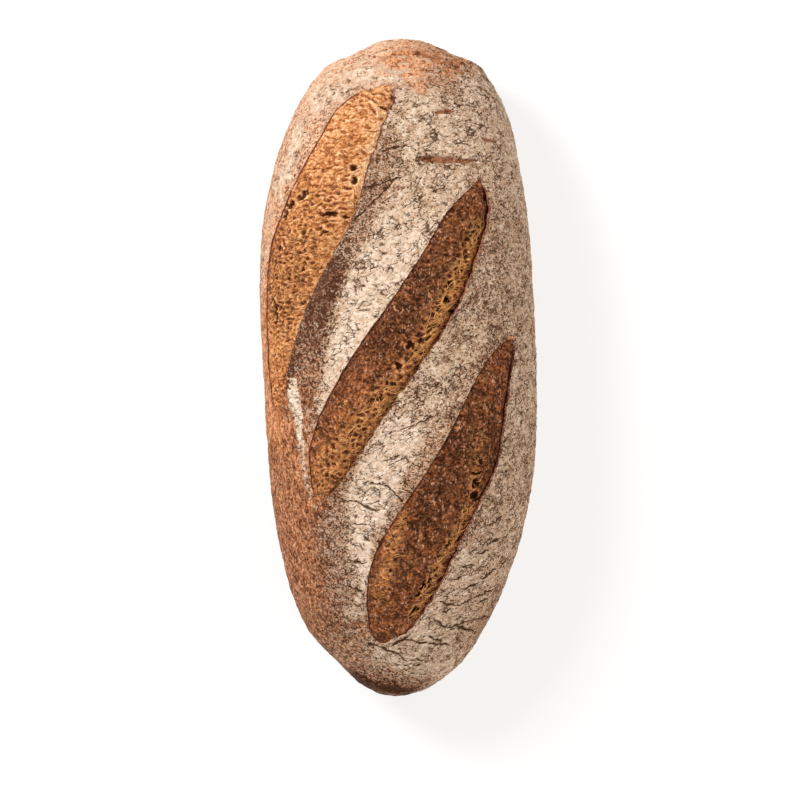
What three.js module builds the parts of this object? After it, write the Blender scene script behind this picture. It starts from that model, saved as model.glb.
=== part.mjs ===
// A whole wheat bread loaf, baked free on a flat hearth and scored three times across the top.
// Millimetres, +Z up. +Y runs along the loaf, towards its blunter end. The origin lies under
// the middle of the loaf, on the surface that it rests on.
//
// The loaf is one closed skin: rings round the loaf, set out along its length, joined at two
// tips. The scores, their raised ears and the swell of the opened dough are relief in the skin.
import * as THREE from "three";

const loaf = {
  length: 300,
  width: 126,
  height: 84,
  widestHeight: 34, // height of the widest line above the surface it lies on, at mid-length
  tipHeight: 27, // and at the two tips
  bluntness: { near: 2.15, far: 2.7 }, // plan outline: higher is squarer, far is the +Y end
  crestBluntness: 2.3,
  roundness: 2.1, // cross-section above the widest line
  footRoundness: 2.2, // cross-section below it
  footWidth: 0.68, // flat of the base over the full width, at mid-length
  footTaper: 0.45, // share of that width lost at the tips
  footLength: 0.84, // flat of the base over the full length
};
// Near its end the far tip narrows by the share pinch, and the near one gives up a share of its
// half width on the left.
const tips = {
  far: { pinch: 0.3, from: 137, full: 147 },
  near: { trim: 0.05, from: -118, full: -140 },
};
const sway = { offset: 0.4, reach: 1.7, wavelength: 190, leftmostAt: 62 };
// Unevenness of the whole loaf: broad swells, and shorter ones slanting over them.
const lumps = { height: 0.9, across: 31, along: 43, start: [0.8, 1.9] };
const ripples = { share: 0.6, across: 27, along: 19 };
const knot = { reach: 13, height: 1.6 }; // the pinched end of the dough, at the -Y tip
const folds = { from: 126, full: 145, spacing: 5.5, height: 0.55, bow: 0.004 }; // at the +Y tip

// Each score: [y, left edge, right edge] in plan, from its far end to its near end. The flap of
// crust on the right edge curls up as an ear, and the dough between the edges has swollen.
const scores = [
  {
    edges: [
      [124, 0, 3],
      [120.5, -17, -1.5],
      [116, -28, -3.2],
      [104, -36, -8],
      [88, -44.5, -13.7],
      [68, -53, -19.5],
      [52, -57.8, -30.5],
      [28, -59.5, -40.5],
      [4, -58.9, -48.5],
      [-12, -57, -51.4],
      [-24, -55, -52.6],
    ],
    ear: 3.2,
    overhang: 2.2,
    crown: 0.8,
  },
  {
    edges: [
      [85, 35.5, 38],
      [81, 32.5, 39.3],
      [69, 21.5, 41.2],
      [53, 12.2, 37],
      [29, -3.7, 28.4],
      [5, -20.5, 13.3],
      [-19, -33.8, -3.8],
      [-37, -39.2, -16],
      [-51, -38.6, -25.3],
      [-59, -37.3, -31.9],
      [-62, -36, -34.4],
    ],
    ear: 1.9,
    overhang: 1.4,
    crown: 1.2,
  },
  {
    edges: [
      [14, 51.5, 53.5],
      [10, 46, 53.5],
      [-2, 37.3, 52.5],
      [-26, 24.7, 48.7],
      [-42, 15.6, 46],
      [-66, -0.4, 34.4],
      [-82, -9.9, 26.8],
      [-98, -14, 18.9],
      [-114, -13.7, 8.7],
      [-122, -12, 0.3],
      [-126, -8, -5],
    ],
    ear: 1.3,
    overhang: 0.8,
    crown: 1.4,
  },
];

// Places where the floured crust tore open as it rose, in plan: from [x, y] to [x, y].
const tears = [
  { from: [9.6, 93.3], to: [35.7, 92.9], width: 2.6, depth: 1.3 },
  { from: [16.4, 114.4], to: [25.4, 115.5], width: 2, depth: 0.8 },
  { from: [18.6, 119.5], to: [36.7, 117.3], width: 1.8, depth: 0.8 },
  { from: [-3.8, 76.6], to: [-20.3, 62.8], width: 2, depth: 0.9 },
  { from: [36.6, 104.3], to: [45.8, 102], width: 2.4, depth: 0.9 },
  { from: [4.3, 140.7], to: [14.2, 138.8], width: 2.4, depth: 1.2 },
  { from: [-25.2, -60.3], to: [-8.2, -63.8], width: 1.8, depth: 0.7 },
  { from: [11.9, -119.4], to: [22.3, -124.3], width: 1.8, depth: 0.7 },
];
const cut = {
  leftDepth: 2, // step down from the crust to the opened dough, along the left edge
  rightDepth: 3.4, // and under the ear
  fullness: 0.8, // of the swell between the edges: lower is squarer
  curl: 0.7, // height of the crust's left edge
  curlReach: 4,
  earReach: 8,
  lean: 0.009, // radians of turn for each mm of length, beyond the ends of a score
  fade: 9, // mm over which the relief dies out at each end of a score
};
const strands = { height: 0.5, spacing: 8.5, wander: 13 }; // torn strands of the opened dough

const mesh = {
  rings: 97,
  sideColumns: 5, // from the widest line down to the base, on each side
  baseColumns: 4,
  outerColumns: 5, // from each widest line to the nearest score
  scoreColumns: 5, // between the edges of a score
  landColumns: 6, // between two scores
  edgeStep: 0.7, // mm on either side of a score's edge, where the skin steps down
  leastTurn: 0.017, // least angle in radians between two columns that follow an edge
  rimTurn: 0.05, // and between the widest line and such a column
};

const halfLength = loaf.length / 2;
const riseHeight = loaf.height - loaf.widestHeight;
const rightAngle = Math.PI / 2;
const fullTurn = 2 * Math.PI;

// 1 at the middle of a rounded end profile, 0 at its tip.
function rounded(share, bluntness) {
  const clipped = Math.min(Math.abs(share), 1);
  return (1 - clipped ** bluntness) ** (1 / bluntness);
}

// 0 where a change of the outline starts, 1 where it is whole.
function along(change, y) {
  const share = THREE.MathUtils.clamp((y - change.from) / (change.full - change.from), 0, 1);
  return share * share * (3 - 2 * share);
}

function fullHalfWidth(y) {
  const bluntness = y > 0 ? loaf.bluntness.far : loaf.bluntness.near;
  return (loaf.width / 2) * rounded(y / halfLength, bluntness);
}

function halfWidth(y) {
  const pinched = 1 - tips.far.pinch * along(tips.far, y);
  return fullHalfWidth(y) * pinched * (1 - tips.near.trim * along(tips.near, y));
}

function middleLine(y) {
  const turn = (fullTurn * (y - sway.leftmostAt)) / sway.wavelength;
  const trimmed = tips.near.trim * along(tips.near, y) * fullHalfWidth(y);
  return sway.offset - sway.reach * Math.cos(turn) + trimmed;
}

function crestRise(y) {
  return riseHeight * rounded(y / halfLength, loaf.crestBluntness);
}

function widestHeight(y) {
  const share = Math.min(Math.abs(y) / halfLength, 1);
  return THREE.MathUtils.lerp(loaf.widestHeight, loaf.tipHeight, share ** 4);
}

// Height of the underside: flat along the middle, curving up to the widest line at each tip.
function undersideHeight(y) {
  const flat = halfLength * loaf.footLength;
  const past = Math.max(0, Math.abs(y) - flat) / (halfLength - flat);
  return widestHeight(y) * (1 - rounded(past, loaf.footRoundness));
}

function footHalfWidth(y) {
  const share = Math.min(Math.abs(y) / halfLength, 1);
  return halfWidth(y) * loaf.footWidth * (1 - loaf.footTaper * share ** 3);
}

function power(value, exponent) {
  return Math.sign(value) * Math.abs(value) ** exponent;
}

// A point of the bare skin above the widest line. turn runs from -90 degrees on the left widest
// line, over the crest at 0, to +90 degrees on the right.
function topPoint(turn, y) {
  return new THREE.Vector3(
    middleLine(y) + halfWidth(y) * power(Math.sin(turn), 2 / loaf.roundness),
    y,
    widestHeight(y) + crestRise(y) * Math.cos(turn) ** (2 / loaf.roundness),
  );
}

// A point below the widest line on one side: share runs from 0 there to 1 at the base's edge.
function sidePoint(share, side, y) {
  const turn = share * rightAngle;
  const foot = footHalfWidth(y);
  const under = undersideHeight(y);
  const reach = foot + (halfWidth(y) - foot) * Math.cos(turn) ** (2 / loaf.footRoundness);
  const drop = (widestHeight(y) - under) * Math.sin(turn) ** (2 / loaf.footRoundness);
  return new THREE.Vector3(middleLine(y) + side * reach, y, widestHeight(y) - drop);
}

// The turn of the skin at a place given in plan, and the mean radius that turns it into mm.
function turnAt(x, y) {
  const share = THREE.MathUtils.clamp((x - middleLine(y)) / halfWidth(y), -1, 1);
  return Math.asin(power(share, loaf.roundness / 2));
}

function skinRadius(y) {
  return (halfWidth(y) + crestRise(y)) / 2;
}

// A score's edges as smooth functions of y.
for (const score of scores) {
  const rising = [...score.edges].reverse();
  score.near = rising[0][0];
  score.far = rising.at(-1)[0];
  const places = rising.map((station) => station[0]);
  const plan = rising.flatMap((station) => [station[1], station[2]]);
  score.plan = new THREE.CubicInterpolant(places, plan, 2, new Float32Array(2));
}

// Left and right edge as turns. Beyond its ends a score goes on as a narrow strip in the same
// direction, so that the columns of the mesh keep running along it.
function edgeTurns(score, y) {
  const inside = THREE.MathUtils.clamp(y, score.near, score.far);
  const [left, right] = score.plan.evaluate(inside);
  const lean = (y - inside) * cut.lean;
  return [turnAt(left, inside) + lean, turnAt(right, inside) + lean];
}

function fade(score, y) {
  const nearShare = THREE.MathUtils.smoothstep(y, score.near, score.near + cut.fade);
  return nearShare * (1 - THREE.MathUtils.smoothstep(y, score.far - cut.fade, score.far));
}

// Relief of one score at a place on the skin: how far out along the normal, and how far to the
// left an ear leans over the opened dough.
function scoreRelief(score, turn, y) {
  const strength = fade(score, y);
  if (strength === 0) return { out: 0, lean: 0 };
  const [left, right] = edgeTurns(score, y);
  const fromLeft = (turn - left) * skinRadius(y);
  const fromRight = (right - turn) * skinRadius(y);
  if (fromLeft < 0) {
    return { out: strength * cut.curl * Math.exp(fromLeft / cut.curlReach), lean: 0 };
  }
  if (fromRight < 0) {
    const reach = Math.exp(fromRight / cut.earReach);
    return { out: strength * score.ear * reach, lean: strength * score.overhang * reach ** 3 };
  }
  const share = fromLeft / (fromLeft + fromRight);
  const depth = THREE.MathUtils.lerp(cut.leftDepth, cut.rightDepth, share);
  const middle = Math.sin(Math.PI * share);
  const swell = (depth + score.crown) * middle ** cut.fullness;
  const wander = Math.sin((fullTurn * turn * skinRadius(y)) / strands.wander);
  const torn = strands.height * Math.sin((fullTurn * y) / strands.spacing + wander);
  return { out: strength * (swell - depth + torn * middle), lean: 0 };
}

function lumpRelief(point) {
  const across = Math.sin((point.x + point.z) / lumps.across + lumps.start[0]);
  const along = Math.sin(point.y / lumps.along + lumps.start[1]);
  const ripple = ripples.share * Math.sin(point.y / ripples.along + point.x / ripples.across);
  return lumps.height * across * (along + ripple);
}

function tearRelief(point) {
  const place = new THREE.Vector3(point.x, point.y, 0);
  const nearest = new THREE.Vector3();
  let out = 0;
  for (const tear of tears) {
    const line = new THREE.Line3(new THREE.Vector3(...tear.from), new THREE.Vector3(...tear.to));
    line.closestPointToPoint(place, true, nearest);
    out -= tear.depth * Math.exp(-((nearest.distanceTo(place) / tear.width) ** 2));
  }
  return out;
}

// Curved wrinkles across the +Y tip, stronger towards its end.
function foldRelief(point) {
  const along = point.y + folds.bow * point.x ** 2 + (loaf.height - point.z) / 2;
  const strength = THREE.MathUtils.smoothstep(point.y, folds.from, folds.full);
  return strength * folds.height * Math.sin((fullTurn * along) / folds.spacing);
}

function knotRelief(point) {
  const away = Math.hypot(point.x - middleLine(-halfLength), halfLength + point.y);
  return knot.height * Math.exp(-((away / knot.reach) ** 2));
}

// The turns of the top's columns in one ring. Pairs of columns hug both edges of every score,
// and the rest are spread evenly between them.
function topTurns(y) {
  const step = mesh.edgeStep / skinRadius(y);
  const marks = scores.flatMap((score) =>
    edgeTurns(score, y).flatMap((edge) => [edge - step, edge + step]),
  );
  const last = marks.length - 1;
  marks[0] = Math.max(marks[0], -rightAngle + mesh.rimTurn);
  for (let i = 1; i <= last; i++) marks[i] = Math.max(marks[i], marks[i - 1] + mesh.leastTurn);
  marks[last] = Math.min(marks[last], rightAngle - mesh.rimTurn);
  for (let i = last - 1; i >= 0; i--) marks[i] = Math.min(marks[i], marks[i + 1] - mesh.leastTurn);

  const stops = [-rightAngle, ...marks, rightAngle];
  const between = ["outer", ...scores.flatMap(() => ["edge", "score", "edge", "land"])];
  between[between.length - 1] = "outer";
  const counts = {
    outer: mesh.outerColumns,
    edge: 1,
    score: mesh.scoreColumns,
    land: mesh.landColumns,
  };
  const turns = [];
  between.forEach((kind, i) => {
    for (let k = 0; k < counts[kind]; k++) {
      turns.push(THREE.MathUtils.lerp(stops[i], stops[i + 1], k / counts[kind]));
    }
  });
  return turns;
}

// One ring round the loaf: over the top from left to right, down the right side, back along the
// base and up the left side.
function ring(y) {
  const points = topTurns(y).map((turn) => ({ point: topPoint(turn, y), turn }));
  for (let k = 0; k < mesh.sideColumns; k++) {
    points.push({ point: sidePoint(k / mesh.sideColumns, 1, y) });
  }
  for (let k = 0; k < mesh.baseColumns; k++) {
    const share = 1 - (2 * k) / mesh.baseColumns;
    const x = middleLine(y) + share * footHalfWidth(y);
    points.push({ point: new THREE.Vector3(x, y, undersideHeight(y)) });
  }
  for (let k = 0; k < mesh.sideColumns; k++) {
    points.push({ point: sidePoint(1 - k / mesh.sideColumns, -1, y) });
  }
  return points;
}

// Rings at equal steps along the crest, from the near tip to the far tip.
function ringPlaces() {
  const crest = new THREE.EllipseCurve(0, 0, halfLength, riseHeight, Math.PI, 0, true);
  return crest.getSpacedPoints(mesh.rings).slice(1, -1).map((p) => p.x);
}

function tipPoint(end) {
  const y = end * halfLength;
  return { point: new THREE.Vector3(middleLine(y), y, widestHeight(y)) };
}

function skinGeometry() {
  const rings = ringPlaces().map(ring);
  const columns = rings[0].length;
  const skin = [tipPoint(-1), ...rings.flat(), tipPoint(1)];
  const farTip = skin.length - 1;
  const at = (r, c) => 1 + r * columns + (c % columns);
  const faces = [];
  for (let c = 0; c < columns; c++) {
    faces.push(0, at(0, c + 1), at(0, c));
    faces.push(farTip, at(rings.length - 1, c), at(rings.length - 1, c + 1));
    for (let r = 0; r + 1 < rings.length; r++) {
      faces.push(at(r, c), at(r + 1, c + 1), at(r + 1, c));
      faces.push(at(r, c), at(r, c + 1), at(r + 1, c + 1));
    }
  }
  const geometry = new THREE.BufferGeometry().setFromPoints(skin.map((s) => s.point));
  geometry.setIndex(faces);
  geometry.computeVertexNormals();
  raiseRelief(geometry, skin);
  return geometry;
}

// Moves the bare skin out by its relief. The base stays flat.
function raiseRelief(geometry, skin) {
  const normals = geometry.getAttribute("normal");
  const normal = new THREE.Vector3();
  skin.forEach(({ point, turn }, i) => {
    normal.fromBufferAttribute(normals, i);
    const clear = THREE.MathUtils.smoothstep(point.z, 0, loaf.widestHeight);
    let out = clear * (lumpRelief(point) + knotRelief(point) + foldRelief(point));
    let lean = 0;
    if (turn !== undefined) {
      out += tearRelief(point);
      const reliefs = scores.map((score) => scoreRelief(score, turn, point.y));
      out += reliefs.reduce((sum, r) => sum + r.out, 0);
      lean = Math.max(...reliefs.map((r) => r.lean));
    }
    const leftward = new THREE.Vector3(0, 1, 0).cross(normal).multiplyScalar(-1);
    point.addScaledVector(normal, out).addScaledVector(leftward, lean);
    geometry.getAttribute("position").setXYZ(i, point.x, point.y, point.z);
  });
}

// Brings the middle of the loaf's box over the origin.
function centre(geometry) {
  geometry.computeBoundingBox();
  const middle = geometry.boundingBox.getCenter(new THREE.Vector3());
  return geometry.translate(-middle.x, -middle.y, -geometry.boundingBox.min.z);
}

const crust = new THREE.MeshStandardMaterial({
  color: new THREE.Color(0.62, 0.43, 0.29),
  roughness: 0.9,
  metalness: 0,
});
const body = new THREE.Mesh(centre(skinGeometry()), crust);
body.name = "loaf";

const bread = new THREE.Group();
bread.add(body);
export default bread;
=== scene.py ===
import itertools
import math

import bpy
import numpy as np
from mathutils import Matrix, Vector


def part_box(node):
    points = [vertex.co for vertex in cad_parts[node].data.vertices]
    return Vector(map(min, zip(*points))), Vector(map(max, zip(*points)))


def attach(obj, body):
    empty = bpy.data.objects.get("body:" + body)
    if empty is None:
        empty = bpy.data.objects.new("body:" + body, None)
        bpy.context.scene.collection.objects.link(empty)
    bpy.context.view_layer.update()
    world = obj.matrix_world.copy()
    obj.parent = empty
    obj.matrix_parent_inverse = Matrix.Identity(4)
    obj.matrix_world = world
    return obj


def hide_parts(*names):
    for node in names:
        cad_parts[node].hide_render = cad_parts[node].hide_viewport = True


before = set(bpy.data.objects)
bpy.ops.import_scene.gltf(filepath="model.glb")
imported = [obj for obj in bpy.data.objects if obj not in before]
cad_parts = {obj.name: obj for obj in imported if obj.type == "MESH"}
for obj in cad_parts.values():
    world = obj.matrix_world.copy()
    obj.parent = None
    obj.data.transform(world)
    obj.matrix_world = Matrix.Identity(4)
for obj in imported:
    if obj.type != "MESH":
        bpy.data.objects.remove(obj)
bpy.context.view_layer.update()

mm = 0.001  # the shapes below are worked out in millimetres, and Blender's are metres
rightAngle = math.pi / 2

loafForm = {
    "length": 300, "width": 126, "height": 84,
    "widestHeight": 34, "tipHeight": 27,  # of the widest line, at mid-length and at the tips
    "bluntNear": 2.15, "bluntFar": 2.7,  # plan outline: higher is squarer, far is the +Y end
    "crestBluntness": 2.3, "roundness": 2.1, "footRoundness": 2.2,
    "footWidth": 0.68, "footTaper": 0.45, "footLength": 0.84,
    "farPinch": 0.3, "pinchFrom": 137, "pinchFull": 147,  # the far tip narrows
    "nearTrim": 0.05, "trimFrom": 118, "trimFull": 140,  # and the near one is flatter on its left
    "swayOffset": 0.4, "swayReach": 1.7, "swayWavelength": 190, "leftmostAt": 62,
    "lumpHeight": 0.9, "lumpAcross": 31, "lumpAlong": 43, "lumpStart": (0.8, 1.9),
    "rippleShare": 0.6, "rippleAcross": 27, "rippleAlong": 19,
    "knotReach": 13, "knotHeight": 1.6,
}
halfLength = loafForm["length"] / 2
riseHeight = loafForm["height"] - loafForm["widestHeight"]

# Each score: [y, left edge, right edge] in plan, from its far end to its near end. The right edge is the
# tip of the ear, as seen from above.
scores = [
    {"edges": [(129, -4, 1.5), (127, -12, 0.5), (124.5, -18.5, -0.5), (120.5, -24, -1.5), (115, -30, -3.6),
               (104, -36, -8), (88, -44.5, -13.7), (68, -53, -19.5), (52, -57.8, -28), (28, -59.5, -40.5),
               (4, -58.9, -48.5), (-12, -57, -51.4), (-24, -55, -52.6)],
     "ear": 3, "overhang": 2, "crown": 0.8, "depth": 3.2, "rim": 0.8, "warmth": 0.1, "leftWarmth": 1.2},
    {"edges": [(85, 35.5, 38), (81, 32.5, 39.3), (69, 21.5, 41.2), (53, 12.2, 37), (29, -3.7, 28.4),
               (5, -20.5, 13.3), (-19, -33.8, -3.8), (-37, -39.2, -16), (-51, -38.6, -25.3),
               (-59, -37.3, -31.9), (-62, -36, -34.4)],
     "ear": 1.7, "overhang": 1, "crown": 1.2, "depth": 2.6, "rim": 0.4, "warmth": 0.6, "leftWarmth": 0.5},
    {"edges": [(14, 51.5, 53.5), (10, 46, 54), (-2, 37.3, 52.5), (-26, 24.7, 48.7), (-42, 15.6, 46),
               (-66, -0.4, 34.4), (-82, -9.9, 26.8), (-98, -14, 18.9), (-114, -13.7, 8.7),
               (-122, -12, 0.3), (-126, -8, -5)],
     "ear": 0.9, "overhang": 0.5, "crown": 1.4, "depth": 1.5, "rim": 0.3, "warmth": 0.4, "leftWarmth": 0.5},
]
cut = {"leftDepth": 0.6, "fullness": 0.7, "curl": 0.35, "curlReach": 4, "earReach": 8,
       "lean": 0.009, "mostSlant": 1.1, "fade": 9, "trough": 6,
       "narrowBelow": 7, "narrowHeight": 0.4, "floorFrom": 0.15}  # a narrow score has lower edges

# Where the floured crust tore open as it rose, in plan: x, y to x, y, half width, depth.
tears = [
    (9.2, 93, 35, 92.3, 1.9, 1.2), (16.5, 114.5, 25.8, 115.3, 1.1, 0.7),
    (37.5, 103, 44.5, 101.4, 0.9, 0.5), (8.3, 142.8, 12.5, 141.6, 1.5, 1.6),
    (11, 141.6, 20, 139.6, 1.2, 0.8), (-20.7, -115.7, -14.5, -116.1, 0.8, 0.3),
]
# Thin cracks in the crust, in plan: x, y to x, y, half width.
creases = [
    (-18.8, 65.1, -9.5, 74.6, 0.35), (-9.5, 74.6, -2.4, 82.5, 0.3), (-16.3, 78.9, 3.4, 85.2, 0.3),
    (-6.9, 96, 3.4, 98.7, 0.3), (19.5, 119.4, 36.7, 117.3, 0.25), (30, 111, 41, 108, 0.2),
    (24, 100.5, 33, 99.4, 0.2), (-25.2, -60.3, -19.4, -59.8, 0.3), (-19.4, -59.8, -11.8, -63.8, 0.45),
    (-11.8, -63.8, -8.2, -63.8, 0.3), (-15.6, -75.7, -12.7, -77.6, 0.35),
    (-22.6, -86.1, -13.7, -88, 0.35), (-23.6, -98.5, -15.7, -100.4, 0.3), (-7.4, -52.3, -3, -54.7, 0.3),
    (-3, -54.7, 2.1, -59.8, 0.3), (28, -90.4, 31.4, -88.9, 0.35), (31.4, -88.9, 35.4, -89.5, 0.35),
    (38.2, -95.5, 45.1, -90.4, 0.3), (18.9, -105.2, 26.9, -107.4, 0.4), (26.9, -107.4, 34.8, -104, 0.35),
    (34.8, -104, 43.4, -100.6, 0.4), (37.1, -105.7, 41, -104.6, 0.3), (22.3, -117.7, 32.6, -114.2, 0.45),
    (25.7, -116.5, 34.8, -119.4, 0.45), (32.6, -114.2, 45.3, -113, 0.25), (3, -122.2, 14.4, -124.5, 0.4),
    (14.4, -124.5, 23.5, -125.6, 0.35), (11.5, -121.1, 19.5, -123.4, 0.4),
    (-13.5, -125.2, -2, -128.8, 0.6), (5.3, -120, -3.3, -126.2, 0.6), (20, -110.5, 24, -108.6, 0.3),
    (-20, -140.5, -8, -145.3, 0.7), (-8, -145.3, 6, -146.6, 0.7), (24, -96, 30, -93.5, 0.3),
    (30.5, -99.5, 37, -97, 0.35), (40, -80, 46, -77, 0.3), (46, -90.4, 50, -86, 0.3),
    (36, -84, 41, -82.5, 0.25), (16, -113, 22.3, -117.7, 0.35), (4, -133, 14, -131.5, 0.25),
    (-2, -128.8, 4, -133, 0.35), (41, -71, 47, -67, 0.25), (-21, -71, -14, -70, 0.25),
    (-16, -52, -7.4, -52.3, 0.25), (-20, -107, -14.5, -108, 0.25), (-4, -44, 4, -40, 0.25),
    (8, -26, 16, -22, 0.25),
]


def rounded(share, bluntness):
    return (1 - np.minimum(np.abs(share), 1) ** bluntness) ** (1 / bluntness)


def smoothstep(low, high, value):
    share = np.clip((value - low) / (high - low), 0, 1)
    return share * share * (3 - 2 * share)


def signedPower(value, exponent):
    return np.sign(value) * np.abs(value) ** exponent


def fullHalfWidth(y):
    bluntness = np.where(y > 0, loafForm["bluntFar"], loafForm["bluntNear"])
    return loafForm["width"] / 2 * rounded(y / halfLength, bluntness)


def nearTrim(y):
    return loafForm["nearTrim"] * smoothstep(loafForm["trimFrom"], loafForm["trimFull"], -y)


def halfWidth(y):
    pinched = 1 - loafForm["farPinch"] * smoothstep(loafForm["pinchFrom"], loafForm["pinchFull"], y)
    return fullHalfWidth(y) * pinched * (1 - nearTrim(y))


def middleLine(y):
    turn = 2 * math.pi * (y - loafForm["leftmostAt"]) / loafForm["swayWavelength"]
    return loafForm["swayOffset"] - loafForm["swayReach"] * np.cos(turn) + nearTrim(y) * fullHalfWidth(y)


def crestRise(y):
    return riseHeight * rounded(y / halfLength, loafForm["crestBluntness"])


def widestHeight(y):
    share = np.minimum(np.abs(y) / halfLength, 1)
    return loafForm["widestHeight"] + (loafForm["tipHeight"] - loafForm["widestHeight"]) * share ** 4


def undersideHeight(y):
    flat = halfLength * loafForm["footLength"]
    past = np.maximum(0, np.abs(y) - flat) / (halfLength - flat)
    return widestHeight(y) * (1 - rounded(past, loafForm["footRoundness"]))


def footHalfWidth(y):
    share = np.minimum(np.abs(y) / halfLength, 1)
    return halfWidth(y) * loafForm["footWidth"] * (1 - loafForm["footTaper"] * share ** 3)


def skinRadius(y):
    return (halfWidth(y) + crestRise(y)) / 2


def turnAt(x, y):
    share = np.clip((x - middleLine(y)) / halfWidth(y), -1, 1)
    return np.arcsin(signedPower(share, loafForm["roundness"] / 2))


# Skin without relief. place runs round a ring: 0 to 1 over the top from the left, 1 to 2 down the right
# side, 2 to 3 back along the base, and 3 to 4 up the left side.
def bareSkin(place, y):
    middle, wide, widest = middleLine(y), halfWidth(y), widestHeight(y)
    under, foot = undersideHeight(y), footHalfWidth(y)
    turn = (np.clip(place, 0, 1) - 0.5) * math.pi
    power = 2 / loafForm["roundness"]
    topX = middle + wide * signedPower(np.sin(turn), power)
    topZ = widest + crestRise(y) * np.maximum(np.cos(turn), 0) ** power
    drop = np.where(place < 2.5, place - 1, 4 - place)
    sideTurn = np.clip(drop, 0, 1) * rightAngle
    sidePower = 2 / loafForm["footRoundness"]
    reach = foot + (wide - foot) * np.maximum(np.cos(sideTurn), 0) ** sidePower
    sideX = middle + np.where(place < 2.5, 1, -1) * reach
    sideZ = widest - (widest - under) * np.maximum(np.sin(sideTurn), 0) ** sidePower
    baseX = middle + foot * (5 - 2 * place)
    onTop, onBase = place <= 1, (place >= 2) & (place <= 3)
    x = np.where(onTop, topX, np.where(onBase, baseX, sideX))
    z = np.where(onTop, topZ, np.where(onBase, under, sideZ))
    return np.stack([x, y + 0 * x, z], axis=-1)


def skinNormal(place, y):
    step, walk = 0.004, 0.2
    inside = np.clip(y, walk - halfLength, halfLength - walk)
    across = bareSkin(place + step, inside) - bareSkin(place - step, inside)
    along = bareSkin(place, inside + walk) - bareSkin(place, inside - walk)
    normal = np.cross(across, along)
    return normal / np.maximum(np.linalg.norm(normal, axis=-1, keepdims=True), 1e-9)


# A curve through the stations, with the slope at each taken from its two neighbours.
def smoothThrough(places, values, at):
    slopes = np.empty_like(values)
    slopes[1:-1] = (values[2:] - values[:-2]) / (places[2:] - places[:-2])
    slopes[0] = (values[1] - values[0]) / (places[1] - places[0])
    slopes[-1] = (values[-1] - values[-2]) / (places[-1] - places[-2])
    i = np.clip(np.searchsorted(places, at) - 1, 0, len(places) - 2)
    gap = places[i + 1] - places[i]
    t = (at - places[i]) / gap
    return ((2 * t ** 3 - 3 * t ** 2 + 1) * values[i] + (t ** 3 - 2 * t ** 2 + t) * gap * slopes[i]
            + (3 * t ** 2 - 2 * t ** 3) * values[i + 1] + (t ** 3 - t ** 2) * gap * slopes[i + 1])


def edgeTurns(score, y):
    stations = np.array(score["edges"][::-1], float)
    inside = np.clip(y, stations[0, 0], stations[-1, 0])
    lean = (y - inside) * cut["lean"]
    left, right = (turnAt(smoothThrough(stations[:, 0], stations[:, side], inside), inside) + lean
                   for side in (1, 2))
    # The ear's tip hides some of the cut from above: it leans over it, and stands up from a slanting skin.
    normal = skinNormal(right / math.pi + 0.5, y)
    slant = np.clip(normal[:, 0] / np.maximum(normal[:, 2], 0.1), -cut["mostSlant"], cut["mostSlant"])
    hidden = (score["overhang"] + score["rim"] / 2 - score["ear"] * slant) * scoreStrength(score, y)
    return left, right + hidden / skinRadius(y)


def scoreStrength(score, y):
    near, far = score["edges"][-1][0], score["edges"][0][0]
    return smoothstep(near, near + cut["fade"], y) * (1 - smoothstep(far - cut["fade"], far, y))


noiseOrigin = 512  # in cells, so that no place on the loaf has a negative one
noiseGain = 1.7  # brings smooth noise to about -1 to 1


# A whole number for each cell of a noise, without order to the eye.
def scramble(cell, seed):
    mixed = (cell[..., 0] * 374761393 + cell[..., 1] * 668265263 + cell[..., 2] * 1440662683
             + seed * 362437) & 0xFFFFFFFF
    mixed = ((mixed ^ (mixed >> 13)) * 1274126177) & 0xFFFFFFFF
    return mixed ^ (mixed >> 16)


def threeParts(mixed):
    return np.stack([mixed & 255, (mixed >> 8) & 255, (mixed >> 16) & 255], axis=-1) / 255


# Gradient noise, about -1 to 1. size is that of its bumps, one number or one for each axis.
def smoothNoise(points, size, seed):
    scaled = points / size + noiseOrigin
    cell = np.floor(scaled).astype(np.int64)
    inside = scaled - cell
    ease = inside ** 3 * (inside * (inside * 6 - 15) + 10)
    total = 0
    for corner in itertools.product((0, 1), repeat=3):
        slope = threeParts(scramble(cell + np.array(corner), seed)) * 2 - 1
        weight = np.prod(np.where(corner, ease, 1 - ease), axis=-1)
        total = total + weight * np.sum(slope * (inside - np.array(corner)), axis=-1)
    return total * noiseGain


# Noises added up, each given as height, size and seed.
def layeredNoise(points, *layers):
    return sum(height * smoothNoise(points, size, seed) for height, size, seed in layers)


# Distance to the nearest and to the next of scattered points, as shares of size.
def cellNoise(points, size, seed):
    scaled = points / size + noiseOrigin
    home = np.floor(scaled).astype(np.int64)
    nearest = np.full(len(points), 9.0)
    second = nearest.copy()
    for offset in itertools.product((-1, 0, 1), repeat=3):
        cell = home + np.array(offset)
        distance = np.linalg.norm(scaled - cell - threeParts(scramble(cell, seed)), axis=-1)
        second = np.minimum(second, np.maximum(nearest, distance))
        nearest = np.minimum(nearest, distance)
    return nearest, second


# Distance from a line in plan, and the share of the way along it.
def toSegment(x, y, fromX, fromY, toX, toY):
    runX, runY = toX - fromX, toY - fromY
    share = np.clip(((x - fromX) * runX + (y - fromY) * runY) / (runX ** 2 + runY ** 2 + 1e-9), 0, 1)
    return np.hypot(x - fromX - share * runX, y - fromY - share * runY), share


# Broad strokes laid over each other in plan: x, y to x, y, radius, softness, value.
def paint(points, start, strokes):
    field = np.full(len(points), float(start))
    for fromX, fromY, toX, toY, radius, softness, value in strokes:
        distance, _ = toSegment(points[:, 0], points[:, 1], fromX, fromY, toX, toY)
        cover = 1 - smoothstep(radius - softness, radius + softness, distance)
        field += (value - field) * cover
    return field


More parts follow.
